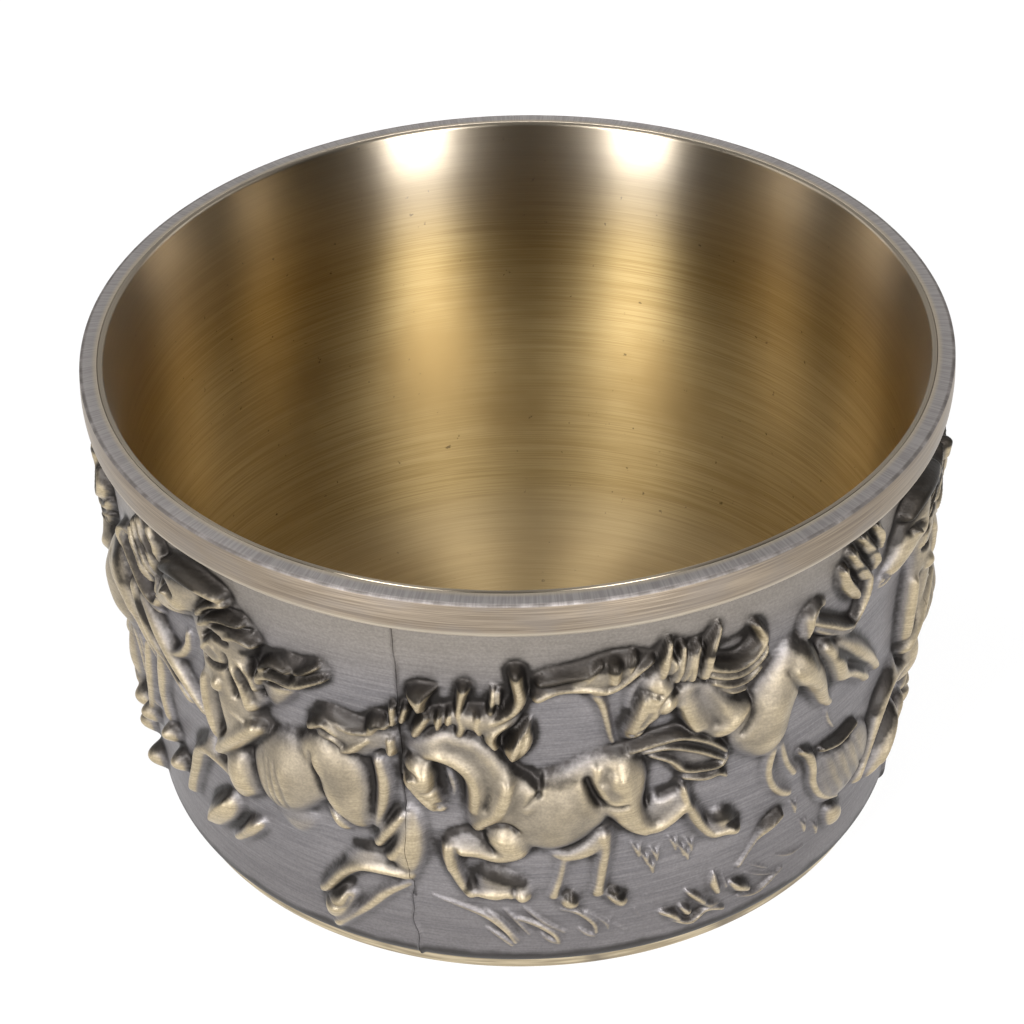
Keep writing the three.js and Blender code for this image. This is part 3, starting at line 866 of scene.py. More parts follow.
# %% Middle horse's neck and head
def middle_neck(at):
    pillow([(-9.0, 22.1), (-8.0, 23.7), (-7.0, 24.4), (-5.9, 24.9), (-5.0, 24.9), (-4.2, 24.5), (-3.4, 24.3),
            (-2.4, 23.4), (-1.4, 21.9), (-0.6, 21.2), (0.2, 20.2), (0.3, 18.8), (-0.2, 17.2), (-1.2, 16.2),
            (-2.4, 15.6), (-3.4, 15.0), (-4.0, 14.8), (-4.6, 15.4), (-4.7, 16.3), (-4.6, 17.5), (-4.5, 18.9),
            (-4.7, 20.1), (-5.4, 21.2), (-6.5, 21.6), (-7.4, 21.8)], at, 1.35, 1.2, 0.1, 0.3)
    swell([(-7.3, 22.0, 0.4), (-6.1, 22.2, 0.5), (-5.15, 21.7, 0.5), (-4.45, 20.9, 0.52),
           (-4.05, 19.9, 0.55), (-3.95, 18.4, 0.52), (-4.1, 17.3, 0.4)], at, 0.6)
    swell([(-5.6, 23.3, 0.45), (-4.2, 22.6, 0.55), (-3.2, 21.2, 0.55), (-2.9, 19.4, 0.5),
           (-3.1, 17.8, 0.42)], at, -0.35)
    swell([(-1.4, 20.2, 0.4), (-1.7, 18.7, 0.52), (-2.2, 17.4, 0.58), (-2.9, 16.5, 0.55), (-3.5, 15.5, 0.45),
           (-3.95, 15.0, 0.4)], at, 0.65)
    swell([(-0.3, 19.2, 0.5), (-0.2, 17.9, 0.55)], at, 0.25)
    pillow([(-7.1, 21.8), (-8.2, 22.0), (-8.9, 21.5), (-9.1, 20.6), (-9.25, 19.4), (-8.9, 18.9),
            (-8.2, 17.85), (-7.5, 16.85), (-6.8, 16.3), (-6.2, 16.4), (-6.1, 17.0), (-6.3, 17.6),
            (-6.45, 18.5), (-6.55, 19.4), (-6.5, 20.4), (-6.65, 21.3)], at, 1.35, 0.9, 0.35)
    swell([(-7.3, 20.3, 0.75), (-7.2, 20.0, 0.75)], at, 0.35)


def middle_horse(at=0.0):
    middle_trunk(at)
    middle_legs(at)
    middle_neck(at)


# %% Middle horse's cuts
def middle_details(at=0.0):
    for amount, cut in (
            (-0.6, [(-0.8, 21.3, 0.3), (0.1, 20.6, 0.36), (0.6, 19.9, 0.3)]),
            (-0.4, [(0.95, 20.8, 0.14), (0.85, 19.9, 0.16), (0.7, 19.0, 0.14)]),
            (-0.25, [(0.8, 19.1, 0.12), (0.2, 18.6, 0.15), (-0.2, 18.1, 0.12)]),
            (-0.45, [(-3.1, 15.6, 0.16), (-2.2, 15.95, 0.18), (-1.4, 15.9, 0.18), (-0.8, 15.4, 0.16)]),
            (-0.45, [(4.2, 19.9, 0.3), (4.9, 18.0, 0.36), (6.0, 17.2, 0.3), (7.0, 17.3, 0.2)]),
            (0.3, [(4.9, 20.9, 0.3), (4.75, 19.8, 0.32), (5.4, 18.4, 0.32)]),
            (-0.3, [(5.7, 20.7, 0.36), (5.45, 19.8, 0.36)]),
            (0.2, [(6.6, 19.9, 0.6), (7.0, 18.2, 0.6)]),
            (-0.3, [(8.9, 20.4, 0.24), (9.1, 18.4, 0.26), (8.9, 16.2, 0.2)]),
            (0.25, [(6.7, 15.4, 0.25), (7.4, 14.2, 0.3), (8.6, 13.5, 0.28)]),
            (-0.3, [(10.0, 16.6, 0.4), (11.2, 17.0, 0.36)]),
            (0.3, [(11.6, 17.2, 0.24), (12.0, 15.9, 0.26), (12.4, 14.8, 0.24)]),
            (-0.32, [(-6.75, 21.2, 0.15), (-6.6, 20.2, 0.17), (-6.7, 19.3, 0.17), (-7.2, 18.8, 0.17),
                     (-7.7, 18.9, 0.14)]),
            (-0.38, [(-8.9, 20.6, 0.17), (-8.3, 20.6, 0.2), (-7.9, 20.4, 0.15)]),
            (0.5, [(-8.6, 20.15, 0.2), (-8.45, 20.1, 0.2)]),
            (0.3, [(-8.95, 19.4, 0.24), (-8.6, 19.2, 0.24)]),
            (0.3, [(-8.5, 18.7, 0.28), (-7.8, 17.8, 0.3), (-7.0, 16.9, 0.28)]),
            (-0.2, [(-7.8, 18.6, 0.2), (-7.2, 17.9, 0.2)]),
            (-0.55, [(-6.75, 17.05, 0.18), (-6.6, 16.9, 0.18)]),
            (-0.42, [(-6.1, 17.05, 0.14), (-6.8, 17.5, 0.14)]),
            (-0.3, [(-5.5, 12.9, 0.2), (-5.4, 12.3, 0.22)]),
            (0.25, [(-6.4, 13.4, 0.3), (-6.3, 12.2, 0.3), (-6.1, 10.8, 0.26)]),
            (-0.3, [(15.6, 11.7, 0.16), (16.6, 11.6, 0.16)]),
            (-0.35, [(-1.3, 8.9, 0.16), (-1.2, 7.7, 0.16)]),
            (-0.3, [(6.1, 7.5, 0.15), (7.2, 7.2, 0.15)])):
        swell(cut, at, amount)
    limb([(-5.9, 20.6, 0.25), (-5.6, 19.6, 0.38), (-5.45, 18.6, 0.32), (-5.6, 17.9, 0.22)], at, 0.7)


# %% [markdown]
# ## Middle horse's hair
#
# The mane stands up in thick locks above the neck, and the tail streams back. Strands of hair would be far
# too fine for a casting. A caster models locks instead, so a flat pillow holds each mass together, and
# limbs on top of it are the locks.

# %% Middle horse's hair
def middle_hair(at=0.0):
    pillow([(-8.2, 24.0), (-7.6, 25.6), (-7.0, 26.4), (-6.0, 26.6), (-5.0, 27.1), (-4.2, 27.0), (-3.2, 27.1),
            (-2.2, 27.0), (-1.2, 27.0), (-0.3, 26.6), (-0.6, 25.4), (-1.6, 24.6), (-2.6, 24.3), (-3.4, 24.5),
            (-4.2, 24.7), (-5.0, 25.1), (-5.9, 25.1), (-6.9, 24.6), (-7.6, 23.9)], at, 1.2, 1.0)
    pillow([(-8.45, 28.2), (-7.7, 28.6), (-6.9, 28.7), (-6.1, 28.6), (-6.55, 28.05), (-6.95, 27.3),
            (-7.05, 26.4), (-7.6, 26.2), (-8.1, 27.0), (-8.5, 27.7)], at, 1.4, 0.7, 0.2)
    swell([(-7.25, 28.0, 0.22), (-7.4, 27.3, 0.25), (-7.6, 26.6, 0.22)], at, 0.35)
    for lock in ([(-8.0, 24.1, 0.42), (-7.6, 25.0, 0.55), (-7.1, 25.9, 0.45)],
                 [(-4.75, 24.6, 0.42), (-4.55, 25.5, 0.46), (-4.75, 26.6, 0.38), (-4.55, 27.9, 0.42),
                  (-4.35, 28.8, 0.52)],
                 [(-2.5, 26.8, 0.38), (-2.35, 27.9, 0.3), (-2.3, 28.9, 0.16)],
                 [(-1.9, 27.4, 0.22), (-1.9, 28.6, 0.14)],
                 [(-3.2, 25.6, 0.38), (-2.4, 26.0, 0.52), (-1.6, 26.5, 0.6), (-0.85, 27.2, 0.64),
                  (-0.42, 28.2, 0.6), (-0.58, 29.5, 0.56), (-0.7, 30.5, 0.6)]):
        limb(lock, at, 1.3, 0.4)
    for ridge in ([(-6.1, 26.4, 0.22), (-6.2, 25.8, 0.3), (-6.25, 25.1, 0.25)],
                  [(-5.4, 26.6, 0.2), (-5.5, 25.7, 0.25)],
                  [(-3.4, 26.6, 0.25), (-3.5, 25.6, 0.28), (-3.3, 24.8, 0.2)]):
        limb(ridge, at, 1.2, 0.9)
    limb([(-1.5, 25.6, 0.42), (-2.3, 25.0, 0.6), (-2.6, 24.3, 0.6), (-2.25, 23.5, 0.42)],
         at, 1.3, 0.5, strands=1)
    pillow([(-0.2, 25.6), (0.3, 26.1), (0.6, 26.7), (0.35, 25.4), (0.45, 24.4), (0.3, 23.4), (-0.3, 22.5),
            (-1.0, 21.8), (-1.5, 22.5), (-1.8, 23.3), (-1.4, 24.2), (-0.9, 25.0)], at, 1.45, 0.8, 0.3)
    swell([(-0.5, 25.0, 0.17), (-0.95, 23.8, 0.22), (-1.1, 22.6, 0.2)], at, 0.28)
    swell([(-0.05, 24.8, 0.13), (-0.4, 23.6, 0.15), (-0.7, 22.6, 0.12)], at, -0.28)
    pillow([(7.4, 22.0), (9.4, 22.8), (11.2, 22.9), (13.0, 21.8), (14.6, 20.2), (15.4, 18.8), (14.8, 17.9),
            (13.0, 17.9), (11.6, 18.5), (10.4, 20.0), (9.0, 21.0)], at, 0.55, 1.0)
    for lock in ([(7.5, 21.9, 0.5), (9.4, 22.3, 0.6), (11.2, 22.3, 0.65), (13.0, 21.3, 0.6),
                  (14.4, 20.1, 0.45), (15.2, 19.2, 0.3)],
                 [(8.4, 21.5, 0.4), (10.4, 21.5, 0.5), (12.4, 20.5, 0.55), (14.0, 19.3, 0.45),
                  (15.0, 18.5, 0.3)],
                 [(9.0, 21.0, 0.35), (10.6, 20.1, 0.5), (11.6, 18.9, 0.55), (13.0, 18.3, 0.5),
                  (14.6, 18.1, 0.45), (15.3, 18.7, 0.3)],
                 [(11.8, 17.9, 0.35), (13.4, 17.4, 0.5), (14.6, 17.3, 0.45), (15.3, 16.7, 0.3)]):
        limb(lock, at, 1.15, 0.2, strands=1)


# %% [markdown]
# ## Following horse
#
# Behind the middle horse another one gallops, higher up on the wall. It could be a copy of the first, but
# its pose is its own, so it is drawn again in the same order: legs, trunk, haunch, neck and head.

# %% Following horse
def following_horse(at=0.0):
    limb([(20.4, 17.2, 0.5), (21.2, 15, 0.44), (21.9, 13.8, 0.42), (22.3, 13.2, 0.4)], at, 0.9)
    limb([(19.5, 17.2, 0.65), (19.4, 14.9, 0.5), (20.0, 13.2, 0.48), (21, 12, 0.46), (21.9, 11.4, 0.42)],
         at, 1.0)
    limb([(25.4, 24.6, 0.8), (27.4, 22.6, 1.1), (29.2, 20.8, 1.0), (30.6, 19.4, 0.8), (32.2, 17.6, 0.55)],
         at, 1.0)
    limb([(24.0, 24.8, 1.0), (25.4, 22.6, 1.2), (26.4, 20.8, 0.95), (27.8, 20, 0.7), (29.2, 18.9, 0.65),
          (30.4, 17.7, 0.55)], at, 1.1)
    pillow([(15.4, 19.4), (15.0, 21.2), (16.4, 23.8), (17.6, 25.3), (18.6, 26.4), (19.8, 27.4), (20.8, 27.7),
            (21.7, 27.2), (22.6, 26.0), (23.2, 24.4), (22.0, 22.6), (21.2, 21.0), (21.0, 19.2), (20.4, 17.6),
            (19.4, 16.8), (18.0, 17.0), (16.8, 17.9)], at, 1.6, 1.8)
    swell([(18.8, 19.4, 1.3), (18.8, 22.4, 1.3)], at, 0.3)
    pillow([(19.9, 25.6), (20.6, 26.8), (21.7, 27.0), (22.6, 26.0), (23.3, 24.4), (24.2, 22.6), (24.8, 20.8),
            (25.3, 19.4), (26.2, 18.1), (25.4, 18.0), (24.0, 19.2), (23.0, 20.6), (22.0, 22.0), (20.6, 23.2),
            (19.9, 24.4)], at, 1.45, 1.3, 0.25, 0.25)
    swell([(20.4, 24.8, 0.45), (21.4, 23.4, 0.45), (22.8, 21.8, 0.45)], at, 0.3)
    pillow([(10.5, 27.9), (11.6, 27.7), (12.8, 27.4), (13.9, 26.6), (14.9, 25.4), (15.8, 24.6), (16.8, 24.2),
            (17.0, 22.8), (16.4, 21.6), (15.4, 20.6), (14.4, 20.8), (13.4, 21.4), (12.5, 22.0), (11.8, 22.8),
            (11.3, 24.0), (10.9, 25.2), (10.3, 26.4)], at, 1.45, 1.4, 0.1, 0.2)
    swell([(11.0, 25.4, 0.32), (11.6, 23.8, 0.36), (12.3, 22.5, 0.32)], at, 0.6)
    swell([(12.4, 26.2, 0.6), (13.2, 24.6, 0.75), (13.9, 23.0, 0.6)], at, -0.7)
    swell([(16.4, 23.4, 0.55), (15.0, 22.3, 0.6), (13.8, 21.4, 0.45)], at, 0.4)
    pillow([(9.5, 29.5), (8.5, 28.7), (7.9, 27.2), (7.4, 25.6), (7.0, 24.2), (7.0, 23.2), (7.6, 22.8),
            (8.4, 23.1), (8.8, 24.0), (9.4, 24.6), (10.2, 25.0), (10.9, 25.4), (11.1, 26.4), (10.7, 27.5),
            (10.3, 28.6)], at, 1.35, 1.0, 0.25)
    swell([(10.1, 26.2, 0.75), (10.0, 26.0, 0.75)], at, 0.3)


# %% Following horse's cuts
def following_details(at=0.0):
    for amount, cut in (
            (-0.35, [(10.8, 27.2, 0.16), (9.9, 27.0, 0.18), (9.3, 26.1, 0.18), (9.5, 25.1, 0.15)]),
            (-0.4, [(8.5, 27.6, 0.22), (9.0, 27.4, 0.24), (9.4, 27.3, 0.2)]),
            (0.6, [(8.85, 27.35, 0.18), (8.98, 27.3, 0.18)]),
            (0.3, [(8.2, 27.0, 0.28), (7.8, 25.2, 0.28), (7.4, 23.8, 0.28)]),
            (-0.25, [(8.7, 25.8, 0.2), (8.2, 24.6, 0.2)]),
            (-0.5, [(7.45, 23.6, 0.18), (7.6, 23.4, 0.18)]),
            (-0.4, [(8.8, 23.8, 0.13), (7.9, 23.7, 0.13)]),
            (-0.35, [(16.9, 24.0, 0.22), (16.9, 22.4, 0.26), (16.2, 20.8, 0.24)]),
            (-0.3, [(19.8, 25.2, 0.2), (20.6, 23.4, 0.24), (21.8, 22.2, 0.22)])):
        swell(cut, at, amount)
    limb([(8.2, 28.6, 0.4), (7.6, 27.4, 0.38), (7.3, 26.0, 0.32)], at, 0.85)
    limb([(10.2, 28.9, 0.3), (10.5, 29.6, 0.42), (10.3, 30.4, 0.2)], at, 1.1, 0.6)


# %% [markdown]
# ## Following horse's hair
#
# A long mass of hair streams ahead of its head, the mane flies up in single tufts and the tail is carried
# high. They could be one ragged pillow, but the gaps between the tufts are what makes them read as hair,
# so each tuft is a limb of its own.

# %% Following horse's hair
def following_hair(at=0.0):
    pillow([(0.4, 29.4), (1.2, 30.3), (2.6, 30.5), (4.0, 30.8), (5.4, 31.2), (6.5, 31.4), (7.7, 31.2),
            (8.8, 30.8), (9.4, 30.2), (8.6, 29.8), (7.6, 29.0), (6.8, 28.2), (5.8, 28.0), (4.6, 27.8),
            (3.4, 28.1), (2.2, 28.4), (1.5, 27.9), (0.8, 27.5), (0.4, 28.2)], at, 1.1, 1.3)
    for lock in ([(0.8, 28.2, 0.55), (2.2, 28.9, 0.55), (4.0, 28.8, 0.6), (5.4, 28.5, 0.5)],
                 [(4.8, 28.3, 0.4), (5.8, 28.3, 0.45), (6.9, 28.9, 0.5), (8.0, 29.8, 0.45),
                  (8.9, 30.4, 0.3)],
                 [(1.0, 29.5, 0.4), (2.6, 29.8, 0.45), (4.2, 30.0, 0.45)],
                 [(3.8, 29.2, 0.4), (4.6, 30.0, 0.45), (5.2, 30.8, 0.35)],
                 [(7.0, 29.6, 0.35), (7.4, 30.4, 0.45), (7.6, 31.0, 0.35)]):
        limb(lock, at, 1.05, 0.55, strands=1)
    limb([(6.1, 29.4, 0.5), (6.15, 30.6, 0.62)], at, 1.0, 0.9)
    limb([(4.9, 27.8, 0.6), (5.4, 26.6, 0.46), (5.7, 25.2, 0.4), (5.95, 23.8, 0.36), (6.2, 22.8, 0.3)],
         at, 0.85)
    for tuft in ([(9.6, 28.9, 0.5), (9.9, 30.2, 0.55), (10.2, 31.7, 0.28)],
                 [(10.6, 28.2, 0.5), (11.0, 29.4, 0.55), (11.2, 31.0, 0.3)],
                 [(11.2, 28.0, 0.4), (11.6, 29.0, 0.5), (11.8, 30.2, 0.3)],
                 [(11.8, 27.9, 0.5), (12.0, 29.4, 0.55), (12.4, 30.7, 0.3)],
                 [(12.8, 27.8, 0.55), (13.2, 29.6, 0.6), (13.6, 30.8, 0.45), (14.0, 31.9, 0.22)],
                 [(13.0, 28.6, 0.5), (14.2, 28.0, 0.62), (15.4, 27.7, 0.7), (16.7, 28.1, 0.72),
                  (17.5, 29.3, 0.6), (17.0, 30.7, 0.36)],
                 [(13.4, 27.6, 0.45), (14.8, 27.0, 0.55), (16.2, 26.9, 0.55), (17.6, 27.6, 0.42),
                  (18.0, 28.4, 0.24)],
                 [(13.6, 26.8, 0.42), (14.9, 26.1, 0.52), (16.2, 26.0, 0.52), (17.4, 26.7, 0.36)],
                 [(14.3, 26.0, 0.36), (15.2, 25.3, 0.45), (16.2, 25.2, 0.36)]):
        limb(tuft, at, 1.15, 0.5, strands=1)
    limb([(21.8, 27.2, 0.7), (22.2, 28.6, 0.9), (22.9, 29.4, 0.6), (23.6, 29.2, 0.4)], at, 1.1, strands=2)
    limb([(22.4, 28.2, 0.6), (24.4, 26.8, 0.65), (26, 25.6, 0.65), (27.2, 25.1, 0.5), (28.1, 26.0, 0.55),
          (28.6, 27.4, 0.6), (28.8, 28.6, 0.5)], at, 1.15, 0.1, strands=1)
    limb([(22.8, 27.2, 0.5), (24.6, 25.8, 0.55), (26.4, 24.7, 0.5), (27.6, 24.6, 0.4)], at, 1.1, strands=1)
    for tuft in ([(25.4, 31.2, 0.5), (25.8, 29.8, 0.65), (26.8, 28.4, 0.65), (27.4, 27.6, 0.4)],
                 [(26.2, 32.3, 0.5), (26.9, 30.8, 0.7), (27.9, 29.4, 0.7), (28.6, 28.8, 0.4)],
                 [(27.2, 33.2, 0.5), (28.0, 31.8, 0.7), (29.0, 30.3, 0.7), (29.3, 29.2, 0.4)],
                 [(28.8, 33.4, 0.5), (29.4, 32.2, 0.6), (29.9, 30.8, 0.4)]):
        limb(tuft, at, 1.15, 0.25, strands=2)


# %% [markdown]
# ## Leading horse
#
# The leading horse turns its head up, with its legs gathered under it. Most of it lies past the seam, on
# the left casting. It could stop at the seam, but one stroke across both castings keeps the body whole,
# and the seam then cuts it, as it does on the real cup.

# %% Leading horse
def leading_horse(at=0.0):
    pillow([(-21.2, 12.2), (-20.2, 10.6), (-18.8, 10.0), (-17.4, 10.8), (-16.6, 12.4), (-18.0, 13.4),
            (-20, 13.0)], at, 0.5, 1.0)
    limb([(-9.4, 8.4, 0.45), (-11.4, 6.9, 0.56), (-13.0, 5.1, 0.56), (-14.6, 3.5, 0.55), (-16.2, 2.0, 0.55)],
         at, 0.85)
    pillow([(-17.1, 4.4), (-16.2, 5.4), (-15.0, 6.4), (-14.0, 6.0), (-14.3, 4.8), (-15.3, 3.2), (-16.4, 2.5),
            (-17.0, 3.0)], at, 1.3, 1.0)
    pillow([(-30.1, 6.0), (-29.0, 8.0), (-27.4, 9.8), (-26.0, 10.8), (-25.0, 10.0), (-25.3, 8.6),
            (-26.6, 7.0), (-28.2, 5.7), (-29.5, 5.3)], at, 1.4, 1.2)
    pillow([(-27.0, 5.5), (-25.2, 7.6), (-23.6, 9.5), (-22.2, 9.5), (-23.2, 8.0), (-25.0, 6.3),
            (-26.4, 5.3)], at, 1.1, 0.8)
    pillow([(-22.4, 15.0), (-22.4, 17.2), (-21.2, 19.4), (-19.6, 20.6), (-17.8, 21.0), (-16.0, 20.4),
            (-14.8, 18.0), (-15.0, 15.6), (-16.2, 14.5), (-17.4, 13.3), (-19.0, 12.2), (-20.6, 12.0),
            (-22.0, 13.0)], at, 1.6, 1.8)
    swell([(-19.6, 15.0, 1.4), (-18.8, 17.0, 1.4)], at, 0.3)
    pillow([(-18.0, 19.4), (-17.0, 21.4), (-15.4, 22.3), (-13.6, 21.6), (-12.3, 20.2), (-11.8, 18.0),
            (-11.9, 15.6), (-12.1, 13.5), (-13.4, 13.1), (-14.2, 13.6), (-15.2, 14.8), (-16.0, 16.2),
            (-16.0, 18.2)], at, 1.55, 1.5, 0.2)
    swell([(-16.0, 19.6, 0.7), (-14.9, 17.0, 0.7), (-14.4, 15.0, 0.5)], at, 0.25)
    pillow([(-15.9, 14.5), (-15.2, 13.0), (-14.4, 12.4), (-13.7, 12.8), (-14.6, 14.2)], at, 1.0, 0.7)
    limb([(-11.1, 20.6, 0.6), (-10.8, 18.6, 0.75), (-11.0, 16.4, 0.75), (-11.6, 14.0, 0.55)], at, 1.1)
    pillow([(-9.4, 16.4), (-8.2, 16.0), (-7.7, 13.2), (-8.2, 10.6), (-9.2, 8.9), (-10.2, 9.6), (-10.9, 11.2),
            (-10.2, 13.6)], at, 1.2, 1.2)
    limb([(-9.6, 15.4, 0.5), (-10.6, 13.8, 0.65), (-11.6, 12.2, 0.55)], at, 1.2, 0.25)
    limb([(-9.6, 12.6, 0.55), (-10.6, 11.2, 0.6)], at, 1.2, 0.4)
    pillow([(-14.9, 9.4), (-13.6, 11.0), (-12.2, 11.7), (-10.8, 11.2), (-9.4, 9.4), (-11.2, 9.0),
            (-13.4, 8.6)], at, 0.75, 1.0)
    limb([(-9.4, 9.5, 0.75), (-11.4, 9.6, 0.8), (-13.4, 9.3, 0.76), (-15.0, 8.0, 0.66), (-16.3, 6.2, 0.62),
          (-17.1, 5.4, 0.5)], at, 1.15, 0.15)
    pillow([(-26.4, 15.0), (-26.8, 16.2), (-28.0, 15.6), (-29.6, 13.8), (-29.0, 12.6), (-27.6, 13.0),
            (-26.2, 12.6), (-25.0, 12.8)], at, 0.9, 1.2)
    limb([(-24.6, 13.6, 0.95), (-26.4, 13.9, 0.85), (-28.0, 14.0, 0.9), (-29.2, 13.0, 0.9),
          (-30.4, 10.6, 0.76), (-31.6, 8.2, 0.7), (-32.1, 7.2, 0.65)], at, 1.15)
    pillow([(-25.4, 15.0), (-24.4, 16.4), (-22.9, 16.8), (-22.3, 14.8), (-22.2, 12.8), (-23.4, 11.6),
            (-24.4, 11.0), (-25.0, 12.2)], at, 1.45, 1.3, 0.15)
    pillow([(-27.4, 27.2), (-26.8, 25.8), (-26.5, 24.2), (-26.9, 22.0), (-27.0, 20.0), (-26.8, 18.0),
            (-26.2, 16.3), (-25.2, 15.3), (-23.6, 16.6), (-21.6, 18.8), (-20.8, 21.0), (-21.2, 23.6),
            (-22.4, 26.4), (-24.2, 28.6), (-26.0, 29.2)], at, 1.5, 1.6, 0.0, 0.2)
    swell([(-26.2, 22.6, 0.4), (-26.3, 19.6, 0.44), (-25.9, 17.0, 0.4)], at, 0.7)
    swell([(-24.9, 22.4, 0.5), (-24.9, 19.8, 0.65), (-24.9, 18.0, 0.5)], at, -0.7)
    limb([(-21.2, 20.2, 0.85), (-22.6, 18.8, 0.95), (-24.0, 17.4, 0.95), (-25.6, 15.7, 0.65)],
         at, 1.0, 0.75, 0.2)
    pillow([(-32.4, 26.0), (-32.0, 27.2), (-30.9, 28.6), (-30.2, 29.9), (-29.2, 31.1), (-27.4, 32.3),
            (-25.6, 32.5), (-24.4, 31.6), (-25.0, 30.3), (-25.7, 29.0), (-26.6, 28.0), (-27.6, 27.2),
            (-29.0, 26.5), (-30.2, 26.2), (-31.3, 25.7)], at, 1.45, 1.4, 0.2)
    swell([(-27.4, 28.8, 0.8), (-27.2, 28.6, 0.8)], at, 0.3)


# %% Leading horse's cuts
def leading_details(at=0.0):
    for rib in range(3):
        swell([(-20.8 + 0.7 * rib, 18.0, 0.14), (-20.4 + 0.7 * rib, 15.6, 0.16),
               (-20.5 + 0.7 * rib, 13.2, 0.13)], at, -0.2)
    for amount, cut in (
            (-0.35, [(-16.2, 20.2, 0.22), (-16.0, 18.0, 0.24), (-15.6, 16.0, 0.22), (-14.6, 14.4, 0.2)]),
            (-0.45, [(-29.3, 29.7, 0.24), (-28.5, 29.9, 0.28), (-27.8, 29.7, 0.22)]),
            (0.6, [(-28.9, 29.55, 0.2), (-28.7, 29.5, 0.2)]),
            (-0.35, [(-28.2, 28.2, 0.2), (-27.4, 27.9, 0.2), (-26.8, 28.4, 0.2)]),
            (-0.5, [(-31.6, 26.9, 0.2), (-31.4, 26.7, 0.2)]),
            (-0.35, [(-31.9, 26.3, 0.14), (-30.6, 26.6, 0.14)]),
            (0.2, [(-28.6, 6.6, 0.2), (-27.6, 8.2, 0.24), (-26.4, 9.6, 0.2)]),
            (-0.3, [(-16.6, 4.6, 0.16), (-15.2, 4.6, 0.18), (-14.6, 5.6, 0.16)])):
        swell(cut, at, amount)


# %% [markdown]
# ## Leading horse's hair
#
# Its mane is a heavy mass that hangs over the neck and curls up behind, and its tail is a row of tufts.
# Tufts alone would leave holes in such a mass, so a broad pillow comes first, tufts lie on it, and soft
# cuts part them again.

